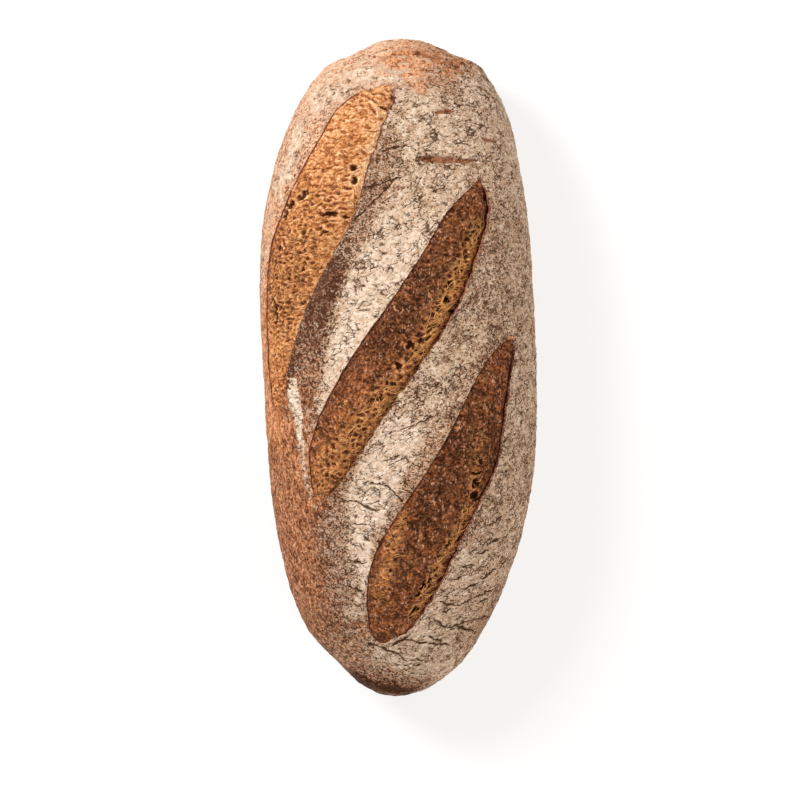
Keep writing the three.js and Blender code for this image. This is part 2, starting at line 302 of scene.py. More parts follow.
# A closed mesh from rings of points, in millimetres, with a tip at each end.
def tubeMesh(name, grid, nearTip, farTip):
    rows, columns = grid.shape[:2]
    points = np.concatenate([grid.reshape(-1, 3), [nearTip, farTip]]) * mm
    index = np.arange(rows * columns).reshape(rows, columns)
    after = np.roll(index, -1, axis=1)
    quads = np.stack([index[:-1], after[:-1], after[1:], index[1:]], axis=-1).reshape(-1, 4)
    nearIndex, farIndex = rows * columns, rows * columns + 1
    caps = np.concatenate([
        np.stack([np.full(columns, nearIndex), after[0], index[0]], axis=-1),
        np.stack([np.full(columns, farIndex), index[-1], after[-1]], axis=-1)])
    corners = np.concatenate([quads.ravel(), caps.ravel()])
    starts = np.concatenate([np.arange(len(quads)) * 4, len(quads) * 4 + np.arange(len(caps)) * 3])
    mesh = bpy.data.meshes.new(name)
    mesh.vertices.add(len(points))
    mesh.vertices.foreach_set("co", points.astype(np.float32).ravel())
    mesh.loops.add(len(corners))
    mesh.loops.foreach_set("vertex_index", corners.astype(np.int32))
    mesh.polygons.add(len(starts))
    mesh.polygons.foreach_set("loop_start", starts.astype(np.int32))
    mesh.update(calc_edges=True)
    mesh.validate()
    piece = bpy.data.objects.new(name, mesh)
    bpy.context.scene.collection.objects.link(piece)
    return piece


# Collapses the mesh to a number of triangles, which go where the shape needs them.
def slim(piece, triangles):
    count = sum(len(p.vertices) - 2 for p in piece.data.polygons)
    if count > triangles:
        collapse = piece.modifiers.new("slim", "DECIMATE")
        collapse.ratio = triangles / count
        evaluated = piece.evaluated_get(bpy.context.evaluated_depsgraph_get())
        slimmed = bpy.data.meshes.new_from_object(evaluated)
        piece.modifiers.clear()
        piece.data = slimmed
    return piece


def finishMesh(piece, material, masks):
    mesh = piece.data
    for name, values in masks.items():
        mask = mesh.attributes.get(name) or mesh.attributes.new(name, "FLOAT", "POINT")
        mask.data.foreach_set("value", np.asarray(values, np.float32))
    mesh.shade_smooth()
    mesh.materials.clear()
    mesh.materials.append(material)
    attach(piece, "root")
    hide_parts("loaf")
    print(f"{piece.name}: {len(mesh.polygons)} faces")


def meshPoints(piece):
    points = np.empty(len(piece.data.vertices) * 3, np.float32)
    piece.data.vertices.foreach_get("co", points)
    return points.reshape(-1, 3).astype(float) / mm


crustMesh = {"spacing": 0.45, "triangles": 190000, "outerColumns": 80, "landColumns": 80, "floorColumns": 4,
             "sideColumns": 80, "baseColumns": 50, "leastTurn": 0.02, "rimTurn": 0.06, "crowding": 0.5}

# Sizes are in millimetres. Borders and cracks go from full to nothing between their two values.
crustRelief = {
    "swell": 0.4, "swellSize": 16, "pimple": 0.13, "pimpleSize": 1.5, "bump": 0.28, "bumpSize": 5.5,
    "dome": 0.28, "plateSize": (4.6, 2.3, 3), "plateRim": (0.1, 0.8), "plateBorder": (0.025, 0.085),
    "crackDepth": 0.4, "crackSize": (10, 3.2, 4), "crackWidth": 0.065, "crackSolid": 0.35,
    "risingSlant": math.radians(30), "fallingSlant": math.radians(-18), "caked": (0.45, 0.7),
    "creaseEnds": 0.4, "creaseEdge": (0.6, 1.5), "creaseStrength": 1.3, "creaseSwelling": 0.9,
    "tearWobble": 0.5, "tearEnds": 0.25, "tearEdge": (0.6, 1.1),
    "raggedLeft": 0.3, "raggedRight": 0.75, "raggedSize": 5,
    "basePits": [(0.35, 5, 14), (0.1, 1.6, 12)],
}
# Wrinkles of the far tip, which run across the loaf.
farFolds = {"from": 122, "full": 140, "spacing": 5.5, "height": 0.55, "bow": 0.004,
            "wander": 2.2, "wanderSize": (14, 7, 9), "wave": 1.8, "waveEdge": 0.6,
            "ripple": 0.7, "rippleEdge": 0.7, "ripplesPerWave": 2.3, "sink": 1.6}

# The floured crust beside the scores is covered by finer pieces: from y, to y, columns, crust on the right
# and on the left of a score.
lands = [
    {"name": "floured_1", "from": -34, "to": 124, "columns": 135, "rightOf": 0, "leftOf": 1},
    {"name": "floured_2", "from": -128, "to": 88, "columns": 104, "rightOf": 1, "leftOf": 2},
    {"name": "floured_3", "from": -138, "to": 22, "columns": 92, "rightOf": 2, "leftOf": None},
]
# They fade in beside a score from the first distance to the second, each a length and what is added to it
# where the score is at full strength.
landMesh = {"spacing": 0.3, "thinning": 1, "crowding": 0.15, "underColumns": 6, "thickness": 1,
            "sunk": 1.3, "edgeSunk": 0.9, "endFade": 2.5, "outerFade": (3, 7),
            "leftFade": ((0.1, 0.5), (0.5, 1.1)), "rightFade": ((0.1, 0.3), (0.5, 0.7))}

# Flour on the crust: 0 is bare, 1 is a whole cake of it. Strokes as in paint().
flourStrokes = [
    (-62, 60, -62, -60, 14, 8, 0.3), (-50, -70, -20, -150, 34, 12, 0.22),
    (-56, -30, -48, -90, 12, 8, 0.12), (-50, 118, -66, 50, 16, 6, 0.24), (-45, 134, 45, 150, 14, 6, 0.34),
    (-36, 121, -14, 134, 6, 5, 0.7), (-43, 110, -56, 78, 3.4, 2.5, 0.72), (-56, 78, -61, 50, 2, 2, 0.55),
    (-52, 112, -60, 92, 2.5, 2, 0.4), (40, 120, 56, 70, 14, 8, 0.76), (52, 70, 60, 0, 12, 8, 0.66),
    (6, 116, 26, 106, 13, 7, 0.78), (14, 92, 22, 98, 15, 6, 0.78), (16, 84, 6, 62, 15, 6, 0.77),
    (4, 58, 0, 50, 14, 5, 0.86), (-2, 46, -12, 30, 14, 4, 0.97), (-15, 24, -25, 2, 8, 3, 1.1),
    (-27, 0, -34, -18, 4, 2, 0.85), (-29, 44, -45, 0, 6, 2.5, 0.12), (-38, 16, -42, -14, 6, 3, 0.22),
    (-46.3, -7, -44.3, -22, 2, 1.1, 1.3), (-44.3, -22, -43.6, -36, 1.3, 1.1, 1.2),
    (-43.6, -36, -40, -58, 1, 1.4, 0.7), (48, 60, 44, 34, 8, 5, 0.6), (38, 34, 26, 10, 12, 6, 0.6),
    (18, 0, 6, -24, 12, 5, 0.7), (0, -32, -14, -62, 10, 4, 1.2), (-18, -72, -19, -92, 7, 4, 1.1),
    (-19, -96, -20, -108, 6, 4, 0.85), (-26, -30, -24, -48, 5, 3, 0.34),
    (-28, -66, -26, -106, 6, 5, 0.42), (56, -10, 44, -80, 12, 7, 0.68), (30, -92, 14, -122, 14, 7, 0.8),
    (-6, -128, 18, -134, 9, 5, 0.8), (3, 131, 10, 126, 3.5, 3, 0.36), (-8, 130, -1, 131, 3, 2, 0.7),
    (-18, -143.5, 6, -149, 3.2, 1.2, 0),
]
# How far the crust has baked: 0 is pinkish tan, 1 is dark brown.
bakeStrokes = [
    (-45, 120, -64, 40, 22, 10, 0.44), (-66, 20, -62, -70, 18, 8, 0.5), (-60, 0, -56, -50, 8, 6, 0.46),
    (-50, -60, -20, -140, 30, 10, 0.62), (-50, 134, 10, 148, 18, 8, 0.3), (10, 140, 36, 128, 10, 8, 0.44),
    (40, 130, 62, 20, 22, 10, 0.66), (20, 100, -10, 40, 24, 8, 0.86), (-26, 48, -46, -10, 9, 5, 1),
    (-44, -14, -30, -60, 9, 6, 0.64), (4, 132, 9, 125, 4, 3, 0.4), (-40, 10, -38, -22, 5, 4, 0.76),
    (-20, -60, -22, -110, 12, 6, 0.76), (10, 0, -20, -80, 14, 6, 0.88), (40, 30, 20, -10, 18, 8, 0.88),
    (60, -10, 40, -110, 18, 8, 0.84), (30, -120, 0, -140, 18, 8, 0.76),
    (-20, -142, -8, -147, 3, 1.5, 1.1), (-8, -147, 6, -149, 3, 1.5, 1.1),
]
# Grey of the scorched flaps.
ashStrokes = [
    (-27, 54, -36, 34, 5, 2.5, 1.15), (-34, 34, -47, 2, 6, 3, 1), (-10, 86, -24, 58, 3, 2, 0.7),
    (-2, 116, -12, 84, 2.2, 1.6, 0.6), (-14, -22, -32, -54, 4, 2.5, 0.8), (-25, -64, -30, -72, 4, 3, 0.6),
    (-32, -60, -30, -110, 7, 6, 0.35), (-24, -104, -26, -122, 6, 5, 0.4),
]
# Where the cracks fall to the right instead of rising.
fallStrokes = [(-14, -56, -20, -108, 12, 4, 1), (-12, -126, 6, -134, 9, 4, 1)]
# Orange of the thin crust on the left side and at the far tip.
glowStrokes = [
    (-62, 20, -58, -60, 12, 7, 0.7), (-56, -50, -40, -110, 14, 10, 0.4), (5, 131, 9, 125, 4, 3, 0.55),
    (0, 140, 24, 138, 7, 5, 0.5), (-62, 60, -58, 80, 5, 4, 0.5), (-44, -18, -38, -60, 7, 5, 0.55),
]


# Places of the rings, at equal steps along the crest.
def ringPlaces(spacing):
    samples = 4001
    angle = np.linspace(math.pi, 0, samples)
    x, z = halfLength * np.cos(angle), riseHeight * np.sin(angle)
    walked = np.concatenate([[0], np.cumsum(np.hypot(np.diff(x), np.diff(z)))])
    count = int(walked[-1] / spacing)
    return np.interp(np.arange(1, count) / count * walked[-1], walked, x)


# The torn edge of the crust in section, from the crust down to the floor of the score: steps across and
# heights in millimetres. Steps are towards the floor on the left, away from it on the right.
def lipProfile(score, side):
    curl, ear, out, rim = cut["curl"], score["ear"], score["overhang"], score["rim"]
    if side == "left":
        return [(0.1, curl - 0.02), (0.22, curl - 0.12), (0.3, curl - 0.35), (0.3, curl - 0.8),
                (0.25, curl - 1.6), (0.25, -2.4), (0.5, -4), (1.2, -cut["trough"])]
    return [(0.8, -cut["trough"]), (2.3, -4.4), (2.5, -3), (2, -1.9), (0.6 - out / 2, ear - 2.2),
            (0.4 - out - rim, ear - 1.75), (-out - rim, ear - 1.4), (-out - rim - 0.1, ear - 1),
            (-out - rim, ear - 0.65), (-out - rim / 2, ear - 0.3), (-out - 0.1, ear - 0.06)]


def raggedEdge(y, seed):
    line = np.stack([0 * y, y, 0 * y], axis=-1)
    size = crustRelief["raggedSize"]
    return layeredNoise(line, (1, size, seed), (0.5, size / 2.7, seed + 9))


# Turns of the ragged left and right edge of each score, in order from the left.
def scoreEdges(y):
    turnPerMm = 1 / skinRadius(y)
    edges = [edge for score in scores for edge in edgeTurns(score, y)]
    for i in range(len(edges)):
        reach = crustRelief["raggedRight" if i % 2 else "raggedLeft"]
        edges[i] = edges[i] + reach * raggedEdge(y, 40 + i) * turnPerMm
    edges[0] = np.maximum(edges[0], -rightAngle + crustMesh["rimTurn"])
    for i in range(1, len(edges)):
        edges[i] = np.maximum(edges[i], edges[i - 1] + crustMesh["leastTurn"])
    edges[-1] = np.minimum(edges[-1], rightAngle - crustMesh["rimTurn"])
    for i in reversed(range(len(edges) - 1)):
        edges[i] = np.minimum(edges[i], edges[i + 1] - crustMesh["leastTurn"])
    return edges


# Crust between two torn edges: turn, height, and distance from the left and the right edge. It rises to
# an ear on the right of a score, and curls up on the left of one.
def openGround(y, edges, shares, rightOf, leftOf):
    start = -rightAngle + 0 * y if rightOf is None else edges[2 * rightOf + 1]
    end = rightAngle + 0 * y if leftOf is None else edges[2 * leftOf]
    radius = skinRadius(y)[:, None]
    turn = start[:, None] + (end - start)[:, None] * shares
    fromLeft, fromRight = (turn - start[:, None]) * radius, (end[:, None] - turn) * radius
    height, lean = 0 * turn, 0 * turn
    if rightOf is not None:
        score, strength = scores[rightOf], scoreStrength(scores[rightOf], y)[:, None]
        away = np.exp(-fromLeft / cut["earReach"])
        height += strength * score["ear"] * away
        lean = strength * score["overhang"] * away ** 3 / radius
    if leftOf is not None:
        strength = scoreStrength(scores[leftOf], y)[:, None]
        height += strength * cut["curl"] * np.exp(-fromRight / cut["curlReach"])
    return turn - lean, height, fromLeft, fromRight


def besideScore(score, y, fade, distance):
    strength = scoreStrength(score, y)[:, None]
    low, high = (length + added * strength for length, added in fade)
    return smoothstep(low, high, distance)


# How far a place lies inside the finer piece that covers this crust: 0 outside it, 1 within.
def landCover(land, y, fromLeft, fromRight):
    start, end, fade = land["from"], land["to"], landMesh["endFade"]
    cover = smoothstep(start, start + fade, y) * (1 - smoothstep(end - fade, end, y))
    left = besideScore(scores[land["rightOf"]], y, landMesh["leftFade"], fromLeft)
    if land["leftOf"] is None:
        right = smoothstep(*landMesh["outerFade"], fromRight)
    else:
        right = besideScore(scores[land["leftOf"]], y, landMesh["rightFade"], fromRight)
    return cover[:, None] * left * right


def crowdedShares(count, crowding):
    t = np.arange(count) / count
    return t - crowding * np.sin(2 * math.pi * t) / (2 * math.pi)


# Columns over one score: down its left edge, across its floor and up its right edge. Each is a turn, a
# height, how far it is into the torn edge, how warm that edge's colour is, and its cover by a finer piece.
def scoreColumns(score, y, left, right):
    turnPerMm = 1 / skinRadius(y)
    strength = scoreStrength(score, y)
    narrow = np.minimum(1, (right - left) / turnPerMm / cut["narrowBelow"])
    lowered = cut["narrowHeight"] + (1 - cut["narrowHeight"]) * narrow
    floor = np.linspace(cut["floorFrom"], 1 - cut["floorFrom"], crustMesh["floorColumns"])
    profile = [("left", *step) for step in [(0, cut["curl"])] + lipProfile(score, "left")]
    profile += [("floor", share, -cut["trough"]) for share in floor]
    profile += [("right", *step) for step in lipProfile(score, "right")]
    for i, (side, step, height) in enumerate(profile):
        flat = left + (right - left) * i / len(profile)
        if side == "floor":
            shaped = left + (right - left) * step
        else:
            shaped = (left if side == "left" else right) + step * narrow * turnPerMm
        warmth = score["leftWarmth" if side == "left" else "warmth"]
        column = (flat + (shaped - flat) * strength, height * strength * lowered,
                  strength if i > 1 else 0 * y, warmth + 0 * y, 0 * y)
        yield tuple(values[:, None] for values in column)


# Rings of the crust: where they are, the place of each column round them, and the rest of what
# scoreColumns gives, for the whole crust.
def crustGrid():
    y = ringPlaces(crustMesh["spacing"])
    edges = scoreEdges(y)
    parts = []
    for k in range(len(scores) + 1):
        rightOf, leftOf = (k - 1 if k else None), (k if k < len(scores) else None)
        between = rightOf is not None and leftOf is not None
        columns = crustMesh["landColumns" if between else "outerColumns"]
        shares = crowdedShares(columns, crustMesh["crowding"])
        turn, height, fromLeft, fromRight = openGround(y, edges, shares, rightOf, leftOf)
        cover = landCover(lands[k - 1], y, fromLeft, fromRight) if k else 0 * turn
        parts.append((turn, height, 0 * turn, 0 * turn, cover))
        if leftOf is not None:
            parts += scoreColumns(scores[k], y, edges[2 * k], edges[2 * k + 1])

    turns, *fields = (np.concatenate([part[i] for part in parts], axis=1) for i in range(5))
    sides, base = crustMesh["sideColumns"], crustMesh["baseColumns"]
    side = np.arange(sides) / sides
    rest = np.concatenate([1 + side, 2 + np.arange(base) / base, 3 + side])
    places = np.concatenate([turns / math.pi + 0.5, np.tile(rest, (len(y), 1))], axis=1)
    flat = np.zeros((len(y), len(rest)))
    return (y, places) + tuple(np.concatenate([field, flat], axis=1).ravel() for field in fields)


def lumpHeight(points):
    x, y, z = points.T
    across = np.sin((x + z) / loafForm["lumpAcross"] + loafForm["lumpStart"][0])
    along = np.sin(y / loafForm["lumpAlong"] + loafForm["lumpStart"][1])
    ripple = loafForm["rippleShare"] * np.sin(y / loafForm["rippleAlong"] + x / loafForm["rippleAcross"])
    return loafForm["lumpHeight"] * across * (along + ripple)


def knotHeight(points):
    away = np.hypot(points[:, 0] - middleLine(-halfLength), halfLength + points[:, 1])
    return loafForm["knotHeight"] * np.exp(-((away / loafForm["knotReach"]) ** 2))


def foldHeight(points):
    x, y, z = points.T
    form = farFolds
    wander = form["wander"] * smoothNoise(points, np.array(form["wanderSize"]), 61)
    along = y + form["bow"] * x ** 2 + (loafForm["height"] - z) / 2 + wander
    strength = smoothstep(form["from"], form["full"], y)
    turn = math.pi * along / form["spacing"]
    wave = np.abs(np.sin(turn)) ** form["waveEdge"]
    ripple = np.abs(np.sin(turn * form["ripplesPerWave"])) ** form["rippleEdge"]
    return strength * form["height"] * (form["wave"] * wave + form["ripple"] * ripple - form["sink"])


# How far a place lies in a tear of the crust, and how deep the tear is there.
def tearMask(points):
    x, y = points[:, 0], points[:, 1]
    wobble = crustRelief["tearWobble"] * smoothNoise(points, 3, 71)
    solid, gone = crustRelief["tearEdge"]
    ends = crustRelief["tearEnds"]
    mask, depth = np.zeros(len(points)), np.zeros(len(points))
    for fromX, fromY, toX, toY, width, deep in tears:
        distance, share = toSegment(x, y + wobble, fromX, fromY, toX, toY)
        here = width * (ends + (1 - ends) * np.sin(math.pi * share ** 0.7) ** 0.6)
        inTear = 1 - smoothstep(here * solid, here * gone, distance)
        mask = np.maximum(mask, inTear)
        depth = np.maximum(depth, deep * inTear)
    return mask, depth


# Wandering lines, where a noise passes through nothing.
def noiseLines(points, size, seed, halfWidth):
    share = np.abs(smoothNoise(points, np.array(size), seed)) / (halfWidth * 2 / min(size))
    return 1 - smoothstep(crustRelief["crackSolid"], 1, share)


# Thin cracks along the creases, a little deeper than those between the plates of flour.
def creaseMask(points):
    x, y = points[:, 0], points[:, 1]
    bend = layeredNoise(points, (0.9, 2.6, 87), (0.35, 1.1, 89))
    swelling = 1 + crustRelief["creaseSwelling"] * smoothNoise(points, 2, 88)
    solid, gone = crustRelief["creaseEdge"]
    ends = crustRelief["creaseEnds"]
    mask = np.zeros(len(points))
    for fromX, fromY, toX, toY, width in creases:
        distance, along = toSegment(x, y + bend, fromX, fromY, toX, toY)
        here = width * (ends + (1 - ends) * np.sin(math.pi * along) ** 0.7) * swelling + 1e-6
        inCrease = 1 - smoothstep(here * solid, here * gone, distance)
        mask = np.maximum(mask, crustRelief["creaseStrength"] * inCrease)
    return mask


# Plates of dried flour: how far each place lies in a crack between them, and how domed they are.
def flourPlates(points, flour):
    relief = crustRelief
    x, y, z = points.T
    wander = np.stack([layeredNoise(points, (0.8, 3.4, seed), (0.3, 1.2, seed)) for seed in (81, 82, 84)],
                      axis=-1)
    falls = paint(points, 0, fallStrokes)
    mask, dome = np.zeros(len(points)), np.zeros(len(points))
    for slant, share in ((relief["risingSlant"], 1 - falls), (relief["fallingSlant"], falls)):
        here = np.flatnonzero(share > 0)
        across = x * math.cos(slant) + y * math.sin(slant)
        along = y * math.cos(slant) - x * math.sin(slant)
        turned = np.stack([across, along, z], axis=-1)[here] + wander[here]
        nearest, second = cellNoise(turned, np.array(relief["plateSize"]), 18)
        border = 1 - smoothstep(*relief["plateBorder"], second - nearest)
        border *= smoothstep(0, 0.35, smoothNoise(points[here], 5.5, 86))
        lines = noiseLines(turned, relief["crackSize"], 83, relief["crackWidth"])
        lines *= smoothstep(0, 0.25, smoothNoise(points[here], 7, 85))
        mask[here] = np.maximum(mask[here], np.maximum(lines, border) * share[here])
        dome[here] += (0.5 - smoothstep(*relief["plateRim"], nearest)) * share[here]
    mask = mask * smoothstep(*relief["caked"], flour)
    return np.maximum(mask, creaseMask(points)), dome * (0.3 + 0.7 * flour)


# Slow rise and fall of the whole loaf, which its crust and its opened dough share.
def broadRelief(bare):
    clear = smoothstep(0, loafForm["widestHeight"], bare[:, 2])
    swell = crustRelief["swell"] * smoothNoise(bare, crustRelief["swellSize"], 11)
    return clear * (lumpHeight(bare) + knotHeight(bare) + swell)


# Relief of the crust's skin and of the flour, which has dried in plates with cracks between them.
def fineRelief(bare, flour):
    relief = crustRelief
    crack, dome = flourPlates(bare, flour)
    pimples = layeredNoise(bare, (1, relief["pimpleSize"], 12), (0.7, relief["pimpleSize"] / 2, 13))
    bumps = layeredNoise(bare, (1, relief["bumpSize"], 19), (0.5, relief["bumpSize"] / 2, 20))
    out = relief["dome"] * dome + relief["pimple"] * pimples + relief["bump"] * bumps
    return out - relief["crackDepth"] * crack, crack, dome


# Streaks are a height, what is added to it towards the far end, a size and a seed.
crustPaint = {
    "flour": 0.45, "bake": 0.6,  # where no stroke lies
    "bend": 7, "bendSize": 17, "bendBelow": (25, 60),
    "tip": (118, 134), "left": (-50, -30), "farther": (40, 90),
    "tipStreaks": {"flour": (0.44, 0, (9, 1.7, 2.4), 63), "bake": (0.26, 0, (7, 1.4, 2), 64)},
    "leftStreaks": {"flour": (0.14, 0.3, (1.8, 6, 3), 66), "bake": (0.14, 0, (1.8, 8, 3), 65)},
    "footHeight": (0.5, 15), "footWander": 4,
}


# Painted masks, streaked across the loaf at its far tip and along it on the left.
def crustMasks(points):
    form = crustPaint
    x, y, z = points.T
    # The strokes are laid down in plan, so on the sides of the loaf they are bent out of their outlines.
    low = form["bend"] * (1 - smoothstep(*form["bendBelow"], z))
    shift = np.stack([smoothNoise(points, form["bendSize"], seed) for seed in (67, 68, 69)], axis=-1)
    bent = points + low[:, None] * shift
    masks = {"flour": paint(bent, form["flour"], flourStrokes),
             "bake": paint(bent, form["bake"], bakeStrokes),
             "ash": paint(points, 0, ashStrokes),
             "glow": paint(bent, 0, glowStrokes)}
    atTip, onLeft = smoothstep(*form["tip"], y), 1 - smoothstep(*form["left"], x)
    farther = smoothstep(*form["farther"], y)
    for place, streaks in ((atTip, form["tipStreaks"]), (onLeft, form["leftStreaks"])):
        for name, (height, added, size, seed) in streaks.items():
            masks[name] += (height + added * farther) * place * smoothNoise(points, np.array(size), seed)
    # The strokes end at the foot of the sides: the base is evenly baked, with little flour on it.
    under = 1 - smoothstep(*form["footHeight"], z + form["footWander"] * smoothNoise(points, 9, 62))
    patchy = smoothNoise(points, 26, 60)
    base = {"flour": 0.16 + 0.1 * patchy, "bake": 0.52 - 0.12 * patchy, "ash": 0, "glow": 0.25}
    for name, value in base.items():
        masks[name] += (value - masks[name]) * under
    return masks


# Each value's mean over a square of its neighbours.
def smoothed(field, reach):
    for axis in (0, 1):
        edges = [(0, 0), (0, 0)]
        edges[axis] = (reach + 1, reach)
        total = np.cumsum(np.pad(field, edges, mode="edge"), axis=axis)
        width = 2 * reach + 1
        _, high = np.split(total, [width], axis=axis)
        low, _ = np.split(total, [-width], axis=axis)
        field = (high - low) / width
    return field


def crustPiece(material):
    y, places, heights, torn, warmth, cover = crustGrid()
    yGrid = np.repeat(y[:, None], places.shape[1], axis=1)
    bare = bareSkin(places, yGrid).reshape(-1, 3)
    normal = skinNormal(places, yGrid).reshape(-1, 3)
    onTop = (places <= 1).ravel()
    onBase = bare[:, 2] < 0.5
    clear = smoothstep(0, loafForm["widestHeight"], bare[:, 2])
    whole = 1 - torn
    out = heights + broadRelief(bare) + clear * foldHeight(bare) * whole
    _, tearDepth = tearMask(bare)
    out -= onTop * tearDepth * whole
    seen = np.flatnonzero((whole > 0.5) & (cover < 0.95) & ~onBase)
    crack, clump = np.zeros(len(bare)), np.zeros(len(bare))
    flour = paint(bare[seen], crustPaint["flour"], flourStrokes)
    fine, crackHere, clumpHere = fineRelief(bare[seen], flour)
    shown = whole[seen] * (1 - smoothstep(0.5, 1, cover[seen]))
    out[seen] += fine * shown
    crack[seen], clump[seen] = crackHere * shown * onTop[seen], clumpHere * shown
    out -= landMesh["sunk"] * smoothstep(0.5, 1, cover)
    out = np.where(onBase, np.minimum(out, 0) * clear, out)
    skin = bare + normal * out[:, None]
    skin[onBase, 2] += np.maximum(0, layeredNoise(bare[onBase], *crustRelief["basePits"]))

    tips = [np.array([middleLine(end), end, widestHeight(end)]) for end in (-halfLength, halfLength)]
    piece = tubeMesh("crust", skin.reshape(*places.shape, 3), *tips)
    for name, values in (("torn", torn), ("crack", crack), ("warmth", warmth), ("clump", clump)):
        mask = piece.data.attributes.new(name, "FLOAT", "POINT")
        mask.data.foreach_set("value", np.append(values, (0, 0)).astype(np.float32))
    print(f"crust before slimming: {len(piece.data.polygons)} faces")
    slim(piece, crustMesh["triangles"])
    points = meshPoints(piece)
    tear, _ = tearMask(points)
    tear *= points[:, 2] > loafForm["widestHeight"]
    under = 1 - smoothstep(2, 16, points[:, 2])
    finishMesh(piece, material, {**crustMasks(points), "tear": tear, "under": under})
    return piece


def landPiece(land, material):
    y = np.arange(land["from"], land["to"], landMesh["spacing"])
    edges = scoreEdges(y)
    columns = land["columns"] // landMesh["thinning"]
    shares = np.append(crowdedShares(columns, landMesh["crowding"]), 1)[1:-1]
    turn, height, fromLeft, fromRight = openGround(y, edges, shares, land["rightOf"], land["leftOf"])
    cover = landCover(land, y, fromLeft, fromRight).ravel()
    yGrid = np.repeat(y[:, None], turn.shape[1], axis=1)
    bare = bareSkin(turn / math.pi + 0.5, yGrid).reshape(-1, 3)
    normal = skinNormal(turn / math.pi + 0.5, yGrid).reshape(-1, 3)
    masks = crustMasks(bare)
    fine, crack, clump = fineRelief(bare, masks["flour"])
    masks["tear"], tearDepth = tearMask(bare)
    out = height.ravel() + broadRelief(bare) + foldHeight(bare) + fine - tearDepth
    out -= landMesh["edgeSunk"] * (1 - smoothstep(0, 0.5, cover))
    skin = (bare + normal * out[:, None]).reshape(len(y), -1, 3)
    back = np.linspace(turn.shape[1] - 1, 0, landMesh["underColumns"]).astype(int)
    below = skin[:, back] - landMesh["thickness"] * normal.reshape(skin.shape)[:, back]
    grid = np.concatenate([skin, below], axis=1)
    piece = tubeMesh(land["name"], grid, grid[0].mean(axis=0), grid[-1].mean(axis=0))
    masks.update(crack=crack, clump=clump)
    finishMesh(piece, material, spreadMasks(masks, grid.shape[:2]))
    return piece


# Masks of a piece's shown side, with nothing on its underside and at its two tips.
def spreadMasks(masks, shape):
    spread = {}
    for name, values in masks.items():
        field = np.zeros(shape)
        shown = len(values) // shape[0]
        field[:, :shown] = values.reshape(shape[0], shown)
        spread[name] = np.append(field.ravel(), (0, 0))
    return spread


doughMesh = {"spacing": 0.3, "columns": 104, "underColumns": 6, "tuckLeft": 0.3, "tuckRight": 1.5,
             "endTuck": 0.25, "endGap": 0.3, "endSink": 0.35, "backDepth": (0.6, 7)}

doughRelief = {"strandWidth": 0.16, "strandHeight": 0.3, "pit": (0.12, 0.6), "wobble": 0.9,
               "arcSpacing": 3.6, "arcDepth": 1.1, "arcShade": 0.45,
               "standingReach": 1.3, "contrast": 1.3, "lumpContrast": 0.12}

